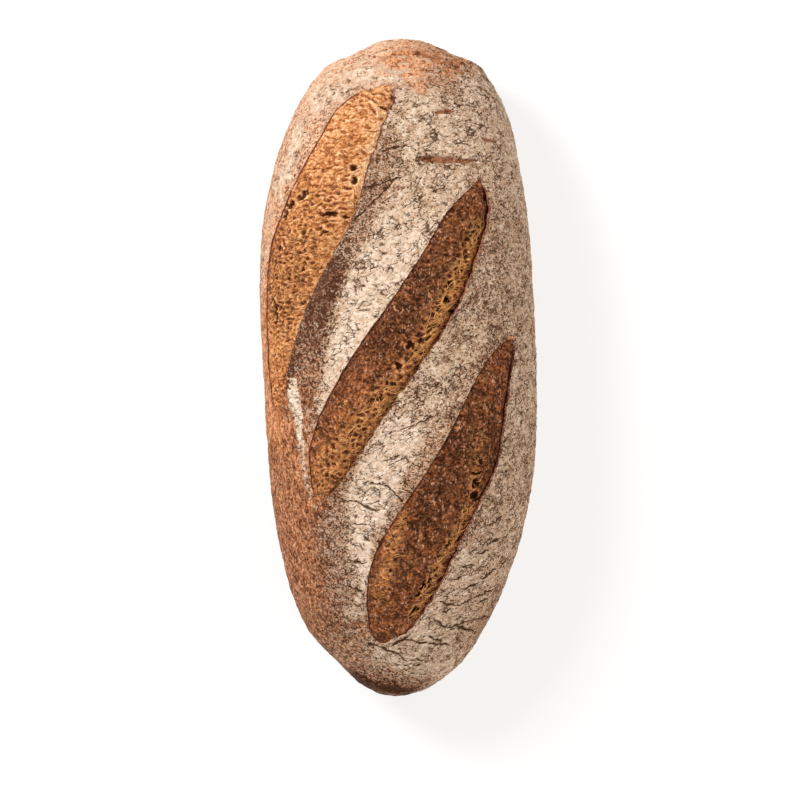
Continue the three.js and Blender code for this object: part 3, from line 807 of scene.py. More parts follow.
# What each score's opened dough looks like. Strokes as in paint(): bake runs from gold to dark brown, and
# web is how far the dough is torn into strands. Web size: mm across, along and deep.
# Hollows: x, y, half width, half length, depth, and the turn of the longer way in degrees. Arcs: their
# centre, and a stroke with its radius, where the dough stretched in curved grooves.
doughLooks = [
    {"grain": 0.16, "crag": 0.5, "cragSize": (5.2, 1.5, 3),
     "webSize": (5, 2, 3), "webDepth": 1, "strands": 90,
     "web": (0.1, [(-14, 104, -46, 24, 7, 5, 0.5), (-40, 74, -56, 10, 9, 5, 0.5),
                   (-36, 108, -45, 88, 8, 5, 0.02), (-14, 112, -26, 100, 7, 4, 0.15)]),
     "bake": (0.42, [(-30, 112, -36, 96, 9, 5, 0.34), (-10, 112, -8, 124, 6, 4, 0.36),
                     (-26, 96, -34, 82, 9, 5, 0.46), (-44, 82, -52, 64, 5, 4, 0.54),
                     (-34, 72, -44, 50, 9, 5, 0.54), (-56, 56, -57, 0, 8, 5, 0.6),
                     (-44, 50, -52, 16, 8, 6, 0.63), (-24, 60, -48, 8, 3, 3, 0.36),
                     (-54, 8, -53, -26, 7, 4, 0.5), (-6, 112, -18, 80, 3, 3, 0.2)]),
     "hollows": [(-19.9, 89.5, 1.7, 1.3, 2, 0), (-19.9, 83.9, 1.3, 1.9, 1.8, 0),
                 (-49, 72.9, 1.3, 2.6, 2, -40), (-51.1, 68.8, 1.1, 2.2, 1.8, -20),
                 (-43.2, 76.9, 1.3, 3, 1.8, -50), (-31, 68.4, 4.4, 1, 1.3, 0),
                 (-55.5, 26, 1.4, 5.6, 2.8, 8), (-58.2, 36, 0.9, 2, 1.6, 0), (-53, 53.5, 1, 1, 1.4, 0),
                 (-41.6, 60.2, 1.2, 0.8, 1.2, 0), (-33, 60, 2.6, 0.8, 1, 30), (-24, 67, 1.4, 0.8, 1.2, 0)],
     "arcs": (-27, 96, 8, 108, -14, 124, 7)},
    {"grain": 0.14, "crag": 0.26, "cragSize": (2.6, 2, 2.4),
     "webSize": (3.6, 2.3, 3), "webDepth": 1.4, "strands": 330,
     "web": (0.05, [(36, 62, 10, 6, 4.5, 2.5, 1), (2, -6, -30, -46, 7, 4, 0.6),
                    (-28, -40, -34, -54, 5, 3, 0.4), (26, 60, 4, 14, 5, 4, 0.15)]),
     "bake": (0.84, [(24, 70, 38, 78, 8, 5, 0.78), (8, 40, -6, 14, 8, 5, 0.9),
                     (-14, 0, -26, -22, 5, 4, 0.74), (36, 52, 12, 10, 4, 3, 0.72),
                     (8, 4, -12, -16, 4, 3, 0.7), (-16, -20, -34, -54, 9, 5, 0.69),
                     (-34, -34, -37, -54, 4, 3, 0.64)]),
     "hollows": [(30.4, 49.9, 1.5, 1.7, 2.6, 20), (36.6, 58.2, 1.2, 2, 1.8, 20),
                 (23.2, 36.4, 1.6, 2, 2.4, 20), (22.2, 30.3, 1.9, 1.6, 2.6, 30),
                 (24.6, 24.8, 1.6, 1.1, 1.6, 10), (19, 25.2, 1.5, 1.2, 2, 30),
                 (11.4, 11.8, 2.6, 1.2, 2.4, 10), (5.8, 9.8, 2.2, 1.4, 1.6, 0),
                 (0.6, 0.5, 1.4, 1.6, 1.6, 0), (38.8, 75.9, 0.7, 2.2, 1.4, -10),
                 (16, 18, 2.2, 1.1, 1.6, 20), (-8, -14, 2, 1, 1.2, 20)],
     "arcs": None},
    {"grain": 0.12, "crag": 0.2, "cragSize": (2.2, 1.8, 2),
     "webSize": (2.6, 1.5, 3), "webDepth": 0.9, "strands": 90,
     "web": (0.05, [(36, -30, 33, -62, 3, 2, 0.4), (31, -64, 6, -112, 2.2, 1.6, 0.7),
                    (1, -67, -8, -104, 3.4, 2, 0.45)]),
     "bake": (0.84, [(46, 4, 50, -20, 7, 4, 0.8), (1, -66, -9, -100, 3.2, 2, 0.66),
                     (12, -44, 2, -62, 3, 3, 0.78), (-8, -112, 4, -118, 9, 5, 0.77),
                     (30, -60, 20, -90, 5, 4, 0.8), (30, -30, 12, -66, 5, 4, 0.9)]),
     "hollows": [(34.7, -52, 2, 1.9, 3, 0), (34.6, -57.8, 2, 2.1, 3, 0), (34.8, -47.4, 2.2, 0.7, 1.4, 0),
                 (22.6, -79.3, 0.8, 2, 1.6, -40), (27.2, -76.8, 0.7, 1.7, 1.4, -40),
                 (11.3, -98.4, 0.9, 2, 1.8, -50), (14.4, -95.3, 0.8, 1.6, 1.6, -50),
                 (8.6, -102, 0.8, 1.6, 1.4, -40), (7.4, -108.8, 0.9, 1.9, 1.6, -40),
                 (17, -90, 0.7, 1.3, 1.2, -50), (37, -42, 0.8, 1.8, 1.4, 20),
                 (30, -70, 0.7, 1.3, 1.2, -30)],
     "arcs": None},
]
strandForm = {"sides": 6, "steps": 10, "length": (2, 8), "radius": (0.1, 0.21), "slant": (0.15, 0.75),
              "bow": 0.13, "rise": 0.5, "leastRise": 0.1, "sunk": 0.12, "shortestSpan": 1.2,
              "leastWeb": 0.3, "crowding": 1.5, "endRadius": 0.55, "swelling": 0.45}


# Depth of the hollows at each place, and how far inside one it is.
def hollowDepth(points, hollows):
    depth, inside = np.zeros(len(points)), np.zeros(len(points))
    wobble = [doughRelief["wobble"] * smoothNoise(points, 1.7, seed) for seed in (24, 25)]
    for x, y, wide, long, deep, degrees in hollows:
        turned = math.radians(degrees)
        dx, dy = points[:, 0] - x + wobble[0], points[:, 1] - y + wobble[1]
        u = (dx * math.cos(turned) + dy * math.sin(turned)) / wide
        v = (dy * math.cos(turned) - dx * math.sin(turned)) / long
        dip = np.exp(-((u * u + v * v) ** 2))
        depth = np.maximum(depth, dip * deep)
        inside = np.maximum(inside, dip)
    return depth, inside


# Noise at three scales, each half the one before, with a few sharp crests among its bumps.
def craggy(points, size, seed):
    size = np.array(size)
    crests = 1 - 2.6 * np.abs(smoothNoise(points, size * 1.2, seed))
    bumps = [smoothNoise(points, size / 2 ** i, seed + i) / 1.5 ** i for i in range(3)]
    return 0.3 * crests + sum(bumps)


# The web that the dough is torn into: how strong it is, its strands, and the pits between them.
def doughWeb(bare, bent, looks, index):
    web = paint(bare, *looks["web"])
    nearest, second = cellNoise(bent, np.array(looks["webSize"]), 41 + index)
    strand = np.exp(-(((second - nearest) / doughRelief["strandWidth"]) ** 2))
    deepHere = 0.3 + 0.7 * smoothstep(-0.3, 0.4, smoothNoise(bare, 3.6, 51 + index))
    return web, strand, smoothstep(*doughRelief["pit"], second - nearest) * deepHere


def stretchArcs(bare, arcs):
    if arcs is None:
        return np.zeros(len(bare))
    centreX, centreY, *stroke = arcs
    away = np.hypot(bare[:, 0] - centreX, bare[:, 1] - centreY) + 1.6 * smoothNoise(bare, 4, 26)
    wave = np.abs(np.sin(math.pi * away / doughRelief["arcSpacing"]))
    groove = (1 - smoothstep(0.2, 0.8, wave)) * paint(bare, 0, [(*stroke, 4, 1)])
    return groove * smoothstep(-0.4, 0.3, smoothNoise(bare, 3.5, 27))


# How far each place stands out from the dough around it: 0.5 where it is level. The dough's material paints
# shade on the low places and light on the crests by it.
def standingOut(relief, lumps, strength):
    reach = max(1, round(doughRelief["standingReach"] / doughMesh["spacing"]))
    standing = (relief - smoothed(relief, reach)) / doughRelief["contrast"]
    standing += doughRelief["lumpContrast"] * lumps
    return np.clip(0.5 + standing * strength[:, None], 0, 1)


# The opened dough of one score. Gives the piece, with its shown skin and its web for the strands.
def doughPiece(index, material):
    score, looks, relief = scores[index], doughLooks[index], doughRelief
    near, far = score["edges"][-1][0] + doughMesh["endGap"], score["edges"][0][0] - doughMesh["endGap"]
    y = np.linspace(near, far, int((far - near) / doughMesh["spacing"]))
    radius = skinRadius(y)
    left, right = edgeTurns(score, y)
    strength = scoreStrength(score, y)
    tuck = doughMesh["endTuck"] + (1 - doughMesh["endTuck"]) * strength
    start = left - doughMesh["tuckLeft"] * tuck / radius
    end = right + doughMesh["tuckRight"] * tuck / radius
    across = np.linspace(0, 1, doughMesh["columns"])
    turn = start[:, None] + (end - start)[:, None] * across
    yGrid = np.repeat(y[:, None], len(across), axis=1)
    bare = bareSkin(turn / math.pi + 0.5, yGrid).reshape(-1, 3)
    normal = skinNormal(turn / math.pi + 0.5, yGrid).reshape(-1, 3)

    share = np.clip((turn - left[:, None]) / (right - left)[:, None], 0, 1).ravel()
    power = np.repeat(strength, len(across))
    depth = cut["leftDepth"] + (score["depth"] - cut["leftDepth"]) * share
    middle = np.sin(math.pi * share)
    out = (depth + score["crown"]) * middle ** cut["fullness"] - depth

    bend = [1.6 * smoothNoise(bare, 5, 21 + index), 1.2 * smoothNoise(bare, 4, 31 + index), 0 * share]
    bent = bare + np.stack(bend, axis=-1)
    web, strand, pit = doughWeb(bare, bent, looks, index)
    out += web * (relief["strandHeight"] * strand - looks["webDepth"] * pit) * middle ** 0.4
    lumps = layeredNoise(bare, (0.6, 6, 61 + index), (0.35, 2.8, 71 + index))
    crags = craggy(bent, looks["cragSize"], 101 + 10 * index)
    grain = layeredNoise(bare, (1, 1.15, 81 + index), (0.6, 0.66, 91 + index))
    out += (lumps + looks["crag"] * crags + looks["grain"] * grain) * middle ** 0.3
    groove = stretchArcs(bare, looks["arcs"])
    out -= relief["arcDepth"] * groove
    dip, hollowShade = hollowDepth(bare, looks["hollows"])
    out = (out - dip) * power - doughMesh["endSink"] * (1 - power) + broadRelief(bare)
    skin = (bare + normal * out[:, None]).reshape(len(y), -1, 3)

    under = np.linspace(1, 0, doughMesh["underColumns"] + 2)[1:-1]
    underPlace = (start[:, None] + (end - start)[:, None] * under) / math.pi + 0.5
    underY = np.repeat(y[:, None], len(under), axis=1)
    least, added = doughMesh["backDepth"]
    deep = (least + added * strength)[:, None, None]
    below = bareSkin(underPlace, underY) - skinNormal(underPlace, underY) * deep
    grid = np.concatenate([skin, below], axis=1)
    piece = tubeMesh(f"dough_{index + 1}", grid, grid[0].mean(axis=0), grid[-1].mean(axis=0))
    reliefShade = standingOut(out.reshape(len(y), -1), lumps.reshape(len(y), -1), strength)
    # Painted shade: the material darkens the dough by the pit and hollow masks, in the web's pits, the
    # hollows and the stretch grooves.
    masks = {"bake": paint(bare, *looks["bake"]), "hollowShade": np.maximum(hollowShade, relief["arcShade"] * groove),
             "pit": web * pit, "strand": web * strand, "reliefShade": reliefShade.ravel()}
    finishMesh(piece, material, spreadMasks(masks, grid.shape[:2]))
    return piece, skin, (web * power).reshape(len(y), -1)


# The line of one strand, from a place on the dough and over its hollows.
def strandPath(skin, row, column, random):
    form = strandForm
    rows, columns = skin.shape[:2]
    along = np.linspace(0, 1, form["steps"])
    arch = np.sin(math.pi * along)
    length = random.uniform(*form["length"])
    slant = random.normal(*form["slant"])
    beside = skin[row, min(column + 1, columns - 1)] - skin[row, max(column - 1, 0)]
    spacing = np.linalg.norm(beside) / 2 + 1e-6
    bow = random.normal(0, form["bow"]) * length
    acrossSteps = (along * length * math.cos(slant) - bow * arch * math.sin(slant)) / spacing
    alongSteps = (along * length * math.sin(slant) + bow * arch * math.cos(slant)) / doughMesh["spacing"]
    path = skin[np.clip(row + alongSteps, 0, rows - 1).astype(int),
                np.clip(column + acrossSteps, 0, columns - 1).astype(int)].copy()
    rise = form["rise"] * random.uniform(form["leastRise"], 1)
    chord = path[0, 2] + (path[-1, 2] - path[0, 2]) * along
    path[:, 2] = np.maximum(chord + rise * arch, path[:, 2]) - form["sunk"]
    path[1:-1] = (path[:-2] + 2 * path[1:-1] + path[2:]) / 4
    return path


# Rings of points round a path, thinner at its ends.
def strandRings(path, middleRadius):
    form = strandForm
    ahead = np.gradient(path, axis=0)
    ahead /= np.linalg.norm(ahead, axis=1, keepdims=True) + 1e-9
    side = np.cross(ahead, (0, 0, 1))
    side /= np.linalg.norm(side, axis=1, keepdims=True) + 1e-9
    upward = np.cross(side, ahead)
    arch = np.sin(math.pi * np.linspace(0, 1, form["steps"]))
    radius = middleRadius * (form["endRadius"] + form["swelling"] * arch)
    ring = (np.arange(form["sides"]) / form["sides"] * 2 * math.pi)[None, :, None]
    circle = side[:, None] * np.cos(ring) + upward[:, None] * np.sin(ring)
    return (path[:, None] + circle * radius[:, None, None]).reshape(-1, 3)


# Strands of gluten, drawn out over the hollows as the scores opened.
def strandPiece(doughs, material):
    random = np.random.default_rng(7)
    form = strandForm
    points, faces, tones = [], [], []
    ringIndex = np.arange(form["steps"] * form["sides"]).reshape(form["steps"], form["sides"])
    for (_, skin, web), looks in zip(doughs, doughLooks):
        chance = np.clip(web - form["leastWeb"], 0, None).ravel() ** form["crowding"]
        starts = random.choice(web.size, size=looks["strands"], p=chance / chance.sum())
        for start in starts:
            path = strandPath(skin, *divmod(int(start), web.shape[1]), random)
            if np.linalg.norm(path[-1] - path[0]) < form["shortestSpan"]:
                continue
            index = sum(len(p) for p in points) + ringIndex
            points.append(strandRings(path, random.uniform(*form["radius"])))
            after = np.roll(index, -1, axis=1)
            quads = np.stack([index[:-1], after[:-1], after[1:], index[1:]], axis=-1).reshape(-1, 4)
            faces += quads.tolist() + [index[0, ::-1].tolist(), index[-1].tolist()]
            tones.append(np.full(index.size, random.uniform(0, 1)))
    mesh = bpy.data.meshes.new("gluten_strands")
    mesh.from_pydata((np.concatenate(points) * mm).tolist(), [], faces)
    piece = bpy.data.objects.new("gluten_strands", mesh)
    bpy.context.scene.collection.objects.link(piece)
    finishMesh(piece, material, {"tone": np.concatenate(tones)})
    return piece


def newGroup(name, inputs, outputs):
    group = bpy.data.node_groups.new(name, "ShaderNodeTree")
    for label, value in inputs:
        socket = group.interface.new_socket(label, in_out="INPUT", socket_type="NodeSocketFloat")
        socket.default_value = value
    for label in outputs:
        group.interface.new_socket(label, in_out="OUTPUT", socket_type="NodeSocketFloat")
    return group, group.nodes.new("NodeGroupInput").outputs, group.nodes.new("NodeGroupOutput").inputs


def useGroup(tree, group, **values):
    node = tree.nodes.new("ShaderNodeGroup")
    node.node_tree = group
    for label, value in values.items():
        plug(tree, value, node.inputs[label])
    return node.outputs


# Links a node's output to a socket, or sets the socket where the value is a number or a colour.
def plug(tree, value, socket):
    if isinstance(value, tuple):
        socket.default_value = (*value, 1)
    elif isinstance(value, (int, float)):
        socket.default_value = value
    else:
        tree.links.new(value, socket)


def mathNode(tree, operation, first, second, clamp=False):
    node = tree.nodes.new("ShaderNodeMath")
    node.operation = operation
    node.use_clamp = clamp
    plug(tree, first, node.inputs[0])
    plug(tree, second, node.inputs[1])
    return node.outputs[0]


def product(tree, first, *others):
    for other in others:
        first = mathNode(tree, "MULTIPLY", first, other)
    return first


def minus(tree, first, second, clamp=False):
    return mathNode(tree, "SUBTRACT", first, second, clamp)


# Place on the object in metres, turned about the upright and scaled.
def objectPlace(tree, scale=(1, 1, 1), degrees=0):
    node = tree.nodes.new("ShaderNodeMapping")
    node.inputs["Rotation"].default_value = (0, 0, math.radians(degrees))
    node.inputs["Scale"].default_value = scale
    tree.links.new(tree.nodes.new("ShaderNodeTexCoord").outputs["Object"], node.inputs["Vector"])
    return node.outputs[0]


def noiseNode(tree, place, sizeMm, detail=2.0, roughness=0.5):
    node = tree.nodes.new("ShaderNodeTexNoise")
    node.inputs["Scale"].default_value = 1 / (sizeMm * mm)
    node.inputs["Detail"].default_value = detail
    node.inputs["Roughness"].default_value = roughness
    tree.links.new(place, node.inputs["Vector"])
    return node.outputs["Fac"]


def rangeNode(tree, value, low, high, toLow=0.0, toHigh=1.0, smooth=True):
    node = tree.nodes.new("ShaderNodeMapRange")
    node.interpolation_type = "SMOOTHSTEP" if smooth else "LINEAR"
    plug(tree, value, node.inputs["Value"])
    for label, bound in (("From Min", low), ("From Max", high), ("To Min", toLow), ("To Max", toHigh)):
        plug(tree, bound, node.inputs[label])
    return node.outputs["Result"]


def mixValue(tree, factor, first, second):
    node = tree.nodes.new("ShaderNodeMix")
    for label, value in (("Factor", factor), ("A", first), ("B", second)):
        plug(tree, value, node.inputs[label])
    return node.outputs[0]


def mixNode(tree, factor, first, second):
    node = tree.nodes.new("ShaderNodeMix")
    node.data_type = "RGBA"
    for index, value in ((0, factor), (6, first), (7, second)):
        plug(tree, value, node.inputs[index])
    return node.outputs[2]


def rampNode(tree, value, stops):
    node = tree.nodes.new("ShaderNodeValToRGB")
    ramp = node.color_ramp
    while len(ramp.elements) < len(stops):
        ramp.elements.new(0.5)
    for element, (position, colour) in zip(ramp.elements, stops):
        element.position = position
        element.color = (*colour, 1)
    tree.links.new(value, node.inputs["Fac"])
    return node.outputs["Color"]


def maskNode(tree, name, share=1.0):
    node = tree.nodes.new("ShaderNodeAttribute")
    node.attribute_name = name
    return product(tree, node.outputs["Fac"], share) if share != 1 else node.outputs["Fac"]


# A colour as seen on a screen, 0 to 255, as the light that a shader works with.
def linear(red, green, blue):
    return tuple(((c / 255 + 0.055) / 1.055) ** 2.4 if c > 10 else c / 255 / 12.92
                 for c in (red, green, blue))


# Grains of one size: a tone drawn for each of them, and the height of their domes.
def grainNode(tree, place, sizeMm):
    node = tree.nodes.new("ShaderNodeTexVoronoi")
    node.inputs["Scale"].default_value = 1 / (sizeMm * mm)
    tree.links.new(place, node.inputs["Vector"])
    parts = tree.nodes.new("ShaderNodeSeparateColor")
    tree.links.new(node.outputs["Color"], parts.inputs["Color"])
    return parts.outputs[0], minus(tree, 1, node.outputs["Distance"])


# Sum of values, each given with its weight.
def weighted(tree, *terms):
    total = None
    for value, weight in terms:
        part = product(tree, value, weight)
        total = part if total is None else mathNode(tree, "ADD", total, part)
    return total


# Fine grain of baked dough: a value that moves the bake up and down, and a height.
def bakedSpeckle():
    group, given, put = newGroup("bakedSpeckle", [("Amount", 1), ("Streaked", 0)], ["Shift", "Height"])
    even, domes = grainNode(group, objectPlace(group), 0.85)
    streaks, _ = grainNode(group, objectPlace(group, (1, 0.4, 1)), 0.8)
    fine = mixValue(group, given["Streaked"], even, streaks)
    soft = noiseNode(group, objectPlace(group), 1.3, 2, 0.6)
    broad = noiseNode(group, objectPlace(group), 3.6, 2, 0.5)
    both = weighted(group, (fine, 0.34), (soft, 0.4), (broad, 0.26))
    plug(group, product(group, minus(group, both, 0.5), given["Amount"]), put["Shift"])
    plug(group, weighted(group, (domes, 0.5), (soft, 0.5)), put["Height"])
    return group


# Flour lying on the crust: how much of it covers each place, how high it lies, and its tone.
def flourDust():
    inputs, outputs = [("Coverage", 0.5), ("Streaked", 0)], ["Mask", "Height", "Tone"]
    group, given, put = newGroup("flourDust", inputs, outputs)
    even, domes = grainNode(group, objectPlace(group), 0.6)
    streaks, _ = grainNode(group, objectPlace(group, (1, 0.4, 1)), 0.6)
    fine = mixValue(group, given["Streaked"], even, streaks)
    clumps, _ = grainNode(group, objectPlace(group, (1, 1, 1), 25), 1.1)
    broad = noiseNode(group, objectPlace(group), 3, 3, 0.6)
    both = weighted(group, (fine, 0.4), (clumps, 0.18), (broad, 0.42))
    bar = rangeNode(group, given["Coverage"], 0, 1, 0.72, 0.24, smooth=False)
    mask = rangeNode(group, both, minus(group, bar, 0.06), mathNode(group, "ADD", bar, 0.06))
    plug(group, mask, put["Mask"])
    lumps = noiseNode(group, objectPlace(group, (0.8, 1, 1), 40), 1.9, 2, 0.55)
    plug(group, weighted(group, (product(group, mask, domes), 0.3), (lumps, 0.7)), put["Height"])
    # The tone is partly the grains' own and partly painted light: lighter on the tops of the lumps and
    # darker between them.
    plug(group, weighted(group, (even, 0.35), (rangeNode(group, lumps, 0.3, 0.7), 0.65)), put["Tone"])
    return group


# Hair cracks in dried flour, longer across the loaf than along it: 1 in a crack.
def hairCracks():
    group, _, put = newGroup("hairCracks", [], ["Mask"])
    lines = []
    for size, degrees, most, shownFrom in ((3, -28, 0.05, 0.52), (1.5, 15, 0.07, 0.57)):
        bent = group.nodes.new("ShaderNodeVectorMath")
        bent.operation = "MULTIPLY_ADD"
        noise = group.nodes.new("ShaderNodeTexNoise")
        noise.inputs["Scale"].default_value = 1 / (0.7 * size * mm)
        noise.inputs["Detail"].default_value = 3
        turned = objectPlace(group, (0.65, 1, 0.8), degrees)
        group.links.new(turned, noise.inputs["Vector"])
        group.links.new(noise.outputs["Color"], bent.inputs[0])
        bent.inputs[1].default_value = (1.2 * size * mm,) * 3
        group.links.new(turned, bent.inputs[2])
        cells = group.nodes.new("ShaderNodeTexVoronoi")
        cells.feature = "DISTANCE_TO_EDGE"
        cells.inputs["Scale"].default_value = 1 / (size * mm)
        group.links.new(bent.outputs[0], cells.inputs["Vector"])
        line = rangeNode(group, cells.outputs["Distance"], 0.02, most, 1, 0)
        shown = noiseNode(group, objectPlace(group, (0.6, 1, 1), degrees), size, 2, 0.6)
        lines.append(product(group, line, rangeNode(group, shown, shownFrom, shownFrom + 0.1)))
    plug(group, mathNode(group, "MAXIMUM", *lines), put["Mask"])
    return group


finishes = {
    "crustStops": [(0, linear(250, 200, 166)), (0.25, linear(224, 168, 132)), (0.5, linear(176, 124, 92)),
                   (0.75, linear(126, 82, 58)), (1, linear(76, 42, 24))],
    "glowStops": [(0, linear(252, 192, 136)), (0.25, linear(230, 152, 94)), (0.5, linear(186, 110, 58)),
                  (0.75, linear(134, 70, 32)), (1, linear(84, 38, 12))],
    "doughStops": [(0, linear(255, 216, 170)), (0.25, linear(234, 170, 115)), (0.48, linear(188, 114, 60)),
                   (0.68, linear(132, 77, 46)), (0.85, linear(97, 54, 32)), (1, linear(56, 27, 13))],
    "flourStops": [(0, linear(200, 164, 133)), (0.5, linear(223, 194, 168)), (1, linear(248, 227, 206))],
    "film": linear(208, 170, 136), "ash": linear(84, 52, 38),
    "tornDark": linear(92, 48, 44), "tornWarm": linear(160, 92, 56), "tear": linear(126, 70, 42),
    "tearLight": linear(176, 114, 78), "crack": linear(80, 50, 28),
    "strandStops": [(0, linear(150, 78, 32)), (1, linear(240, 180, 106))],
    # The dough's pit and hollow colours are painted shade in its recesses.
    # The speck colour: light flecks on the torn edges, and painted highlights on the dough's crests.
    "pit": linear(86, 42, 14), "hollowShade": linear(54, 22, 6), "speckAndGlint": linear(226, 172, 140),
    "underside": linear(158, 108, 74), "sheen": 0.04,
}


def bumpNode(tree, height, depthMm):
    node = tree.nodes.new("ShaderNodeBump")
    node.inputs["Distance"].default_value = depthMm * mm
    plug(tree, height, node.inputs["Height"])
    return node.outputs["Normal"]


def newMaterial(name):
    material = bpy.data.materials.new(name)
    material.use_nodes = True
    return material, material.node_tree, material.node_tree.nodes["Principled BSDF"].inputs


# Baked crust, from bare to scorched, with the colour inside its tears.
def bakedColour(tree, grain):
    shift = grain["Shift"]
    bake = mathNode(tree, "ADD", maskNode(tree, "bake"), shift, True)
    colour = mixNode(tree, maskNode(tree, "glow"), rampNode(tree, bake, finishes["crustStops"]),
                     rampNode(tree, bake, finishes["glowStops"]))
    ash = product(tree, maskNode(tree, "ash"), rangeNode(tree, shift, -0.25, 0.15, 0.3, 1))
    colour = mixNode(tree, ash, colour, finishes["ash"])
    inTear = product(tree, maskNode(tree, "tear"), rangeNode(tree, shift, -0.2, 0.2, 0.8, 1))
    tearColour = mixNode(tree, rangeNode(tree, shift, -0.15, 0.2), finishes["tear"], finishes["tearLight"])
    colour = mixNode(tree, inTear, colour, tearColour)
    return mixNode(tree, maskNode(tree, "under", 0.35), colour, finishes["underside"])


# How much flour lies at each place before it falls in grains. It is more on the domes of the flour plates
# and less at their rims, which is partly thinner flour and partly painted shade.
def flourCoverage(tree):
    patches = product(tree, minus(tree, noiseNode(tree, objectPlace(tree), 8, 2, 0.5), 0.5),
                      rangeNode(tree, maskNode(tree, "flour"), 0.4, 0.6))
    return weighted(tree, (maskNode(tree, "flour"), 1), (maskNode(tree, "clump"), 0.16), (patches, 0.6))


# Dark crust shows in specks and hair cracks, where the crust is dark and has flour on it.
def darkMarks(tree, coverage, hair):
    floured = product(tree, rangeNode(tree, maskNode(tree, "flour"), 0.3, 0.55),
                      rangeNode(tree, maskNode(tree, "bake"), 0.35, 0.65))
    hairs = product(tree, useGroup(tree, hair)["Mask"], floured)
    specks, _ = grainNode(tree, objectPlace(tree, (0.8, 1, 1), 20), 0.55)
    rarely = rangeNode(tree, coverage, 0.4, 1, 0.875, 0.99)
    pepper = rangeNode(tree, minus(tree, specks, rarely), 0, 0.03)
    return mathNode(tree, "MAXIMUM", hairs, product(tree, pepper, floured))


def tornEdgeColour(tree, grain):
    warmPatches = rangeNode(tree, noiseNode(tree, objectPlace(tree), 3), 0.3, 0.7)
    warmth = product(tree, maskNode(tree, "warmth"), warmPatches)
    edge = mixNode(tree, warmth, finishes["tornDark"], finishes["tornWarm"])
    return mixNode(tree, rangeNode(tree, grain["Shift"], 0.05, 0.2, 0, 0.35), edge, finishes["speckAndGlint"])


def crustMaterial(speckle, dust, hair):
    material, tree, shader = newMaterial("flouredCrust")
    grain = useGroup(tree, speckle, Amount=2.2, Streaked=maskNode(tree, "glow"))
    colour = bakedColour(tree, grain)

    torn = rangeNode(tree, maskNode(tree, "torn"), 0.2, 0.7)
    whole = minus(tree, 1, mathNode(tree, "MAXIMUM", torn, maskNode(tree, "tear", 0.95)))
    dusted = minus(tree, 1, mathNode(tree, "MAXIMUM", torn, maskNode(tree, "tear", 0.93)))
    coverage = flourCoverage(tree)
    film = product(tree, rangeNode(tree, coverage, 0.35, 1, 0, 0.85), whole)
    colour = mixNode(tree, film, colour, finishes["film"])
    flour = useGroup(tree, dust, Coverage=coverage, Streaked=maskNode(tree, "glow"))
    strength = rangeNode(tree, coverage, 0.1, 0.65, 0.4, 1, smooth=False)
    cover = product(tree, flour["Mask"], dusted, strength)
    tone = minus(tree, flour["Tone"], rangeNode(tree, coverage, 0.4, 1.15, 0.32, -0.12), True)
    colour = mixNode(tree, cover, colour, rampNode(tree, tone, finishes["flourStops"]))
    marks = product(tree, darkMarks(tree, coverage, hair), whole)
    cracks = mathNode(tree, "MAXIMUM", maskNode(tree, "crack"), marks, True)
    colour = mixNode(tree, product(tree, cracks, 0.97), colour, finishes["crack"])
    colour = mixNode(tree, torn, colour, tornEdgeColour(tree, grain))
    plug(tree, colour, shader["Base Color"])
    plug(tree, rangeNode(tree, cover, 0, 1, 0.65, 0.95, smooth=False), shader["Roughness"])
    shader["Specular IOR Level"].default_value = finishes["sheen"]

    rough = product(tree, grain["Height"], rangeNode(tree, cover, 0, 1, 0.9, 0.3))
    height = weighted(tree, (cover, 0.25), (flour["Height"], 1.1), (rough, 1), (cracks, -0.7))
    plug(tree, bumpNode(tree, height, 0.5), shader["Normal"])
    return material


def doughMaterial(speckle):
    material, tree, shader = newMaterial("openedDough")
    grain = useGroup(tree, speckle, Amount=1.1)
    # Painted shade and light: the bake shifts darker where the dough lies lower than its surroundings and
    # lighter where it stands out.
    reliefShade = product(tree, minus(tree, maskNode(tree, "reliefShade"), 0.5), -0.8)
    bake = mathNode(tree, "ADD", maskNode(tree, "bake"), grain["Shift"])
    bake = mathNode(tree, "ADD", bake, reliefShade, True)
    colour = rampNode(tree, bake, finishes["doughStops"])
    # Painted highlights: light specks, in patches, on the crests of the dough.
    specks, _ = grainNode(tree, objectPlace(tree, (1, 0.6, 1), 50), 0.6)
    onCrests = rangeNode(tree, maskNode(tree, "reliefShade"), 0.3, 0.6, 0.2, 1)
    inPatches = rangeNode(tree, noiseNode(tree, objectPlace(tree), 4, 2, 0.6), 0.38, 0.62, 0.15, 1)
    light = product(tree, rangeNode(tree, specks, 0.7, 1, 0, 0.75), product(tree, onCrests, inPatches))
    colour = mixNode(tree, light, colour, finishes["speckAndGlint"])
    # Painted shade in the web's pits, the hollows and the grooves.
    colour = mixNode(tree, maskNode(tree, "pit", 0.6), colour, finishes["pit"])
    colour = mixNode(tree, maskNode(tree, "strand", 0.45), colour, finishes["strandStops"][1][1])
    colour = mixNode(tree, maskNode(tree, "hollowShade", 0.9), colour, finishes["hollowShade"])
    plug(tree, colour, shader["Base Color"])
    shader["Roughness"].default_value = 0.6
    shader["Specular IOR Level"].default_value = finishes["sheen"]
    plug(tree, bumpNode(tree, grain["Height"], 0.7), shader["Normal"])
    return material


def strandMaterial():
    material, tree, shader = newMaterial("glutenStrands")
    plug(tree, rampNode(tree, maskNode(tree, "tone"), finishes["strandStops"]), shader["Base Color"])
    shader["Roughness"].default_value = 0.45
    return material


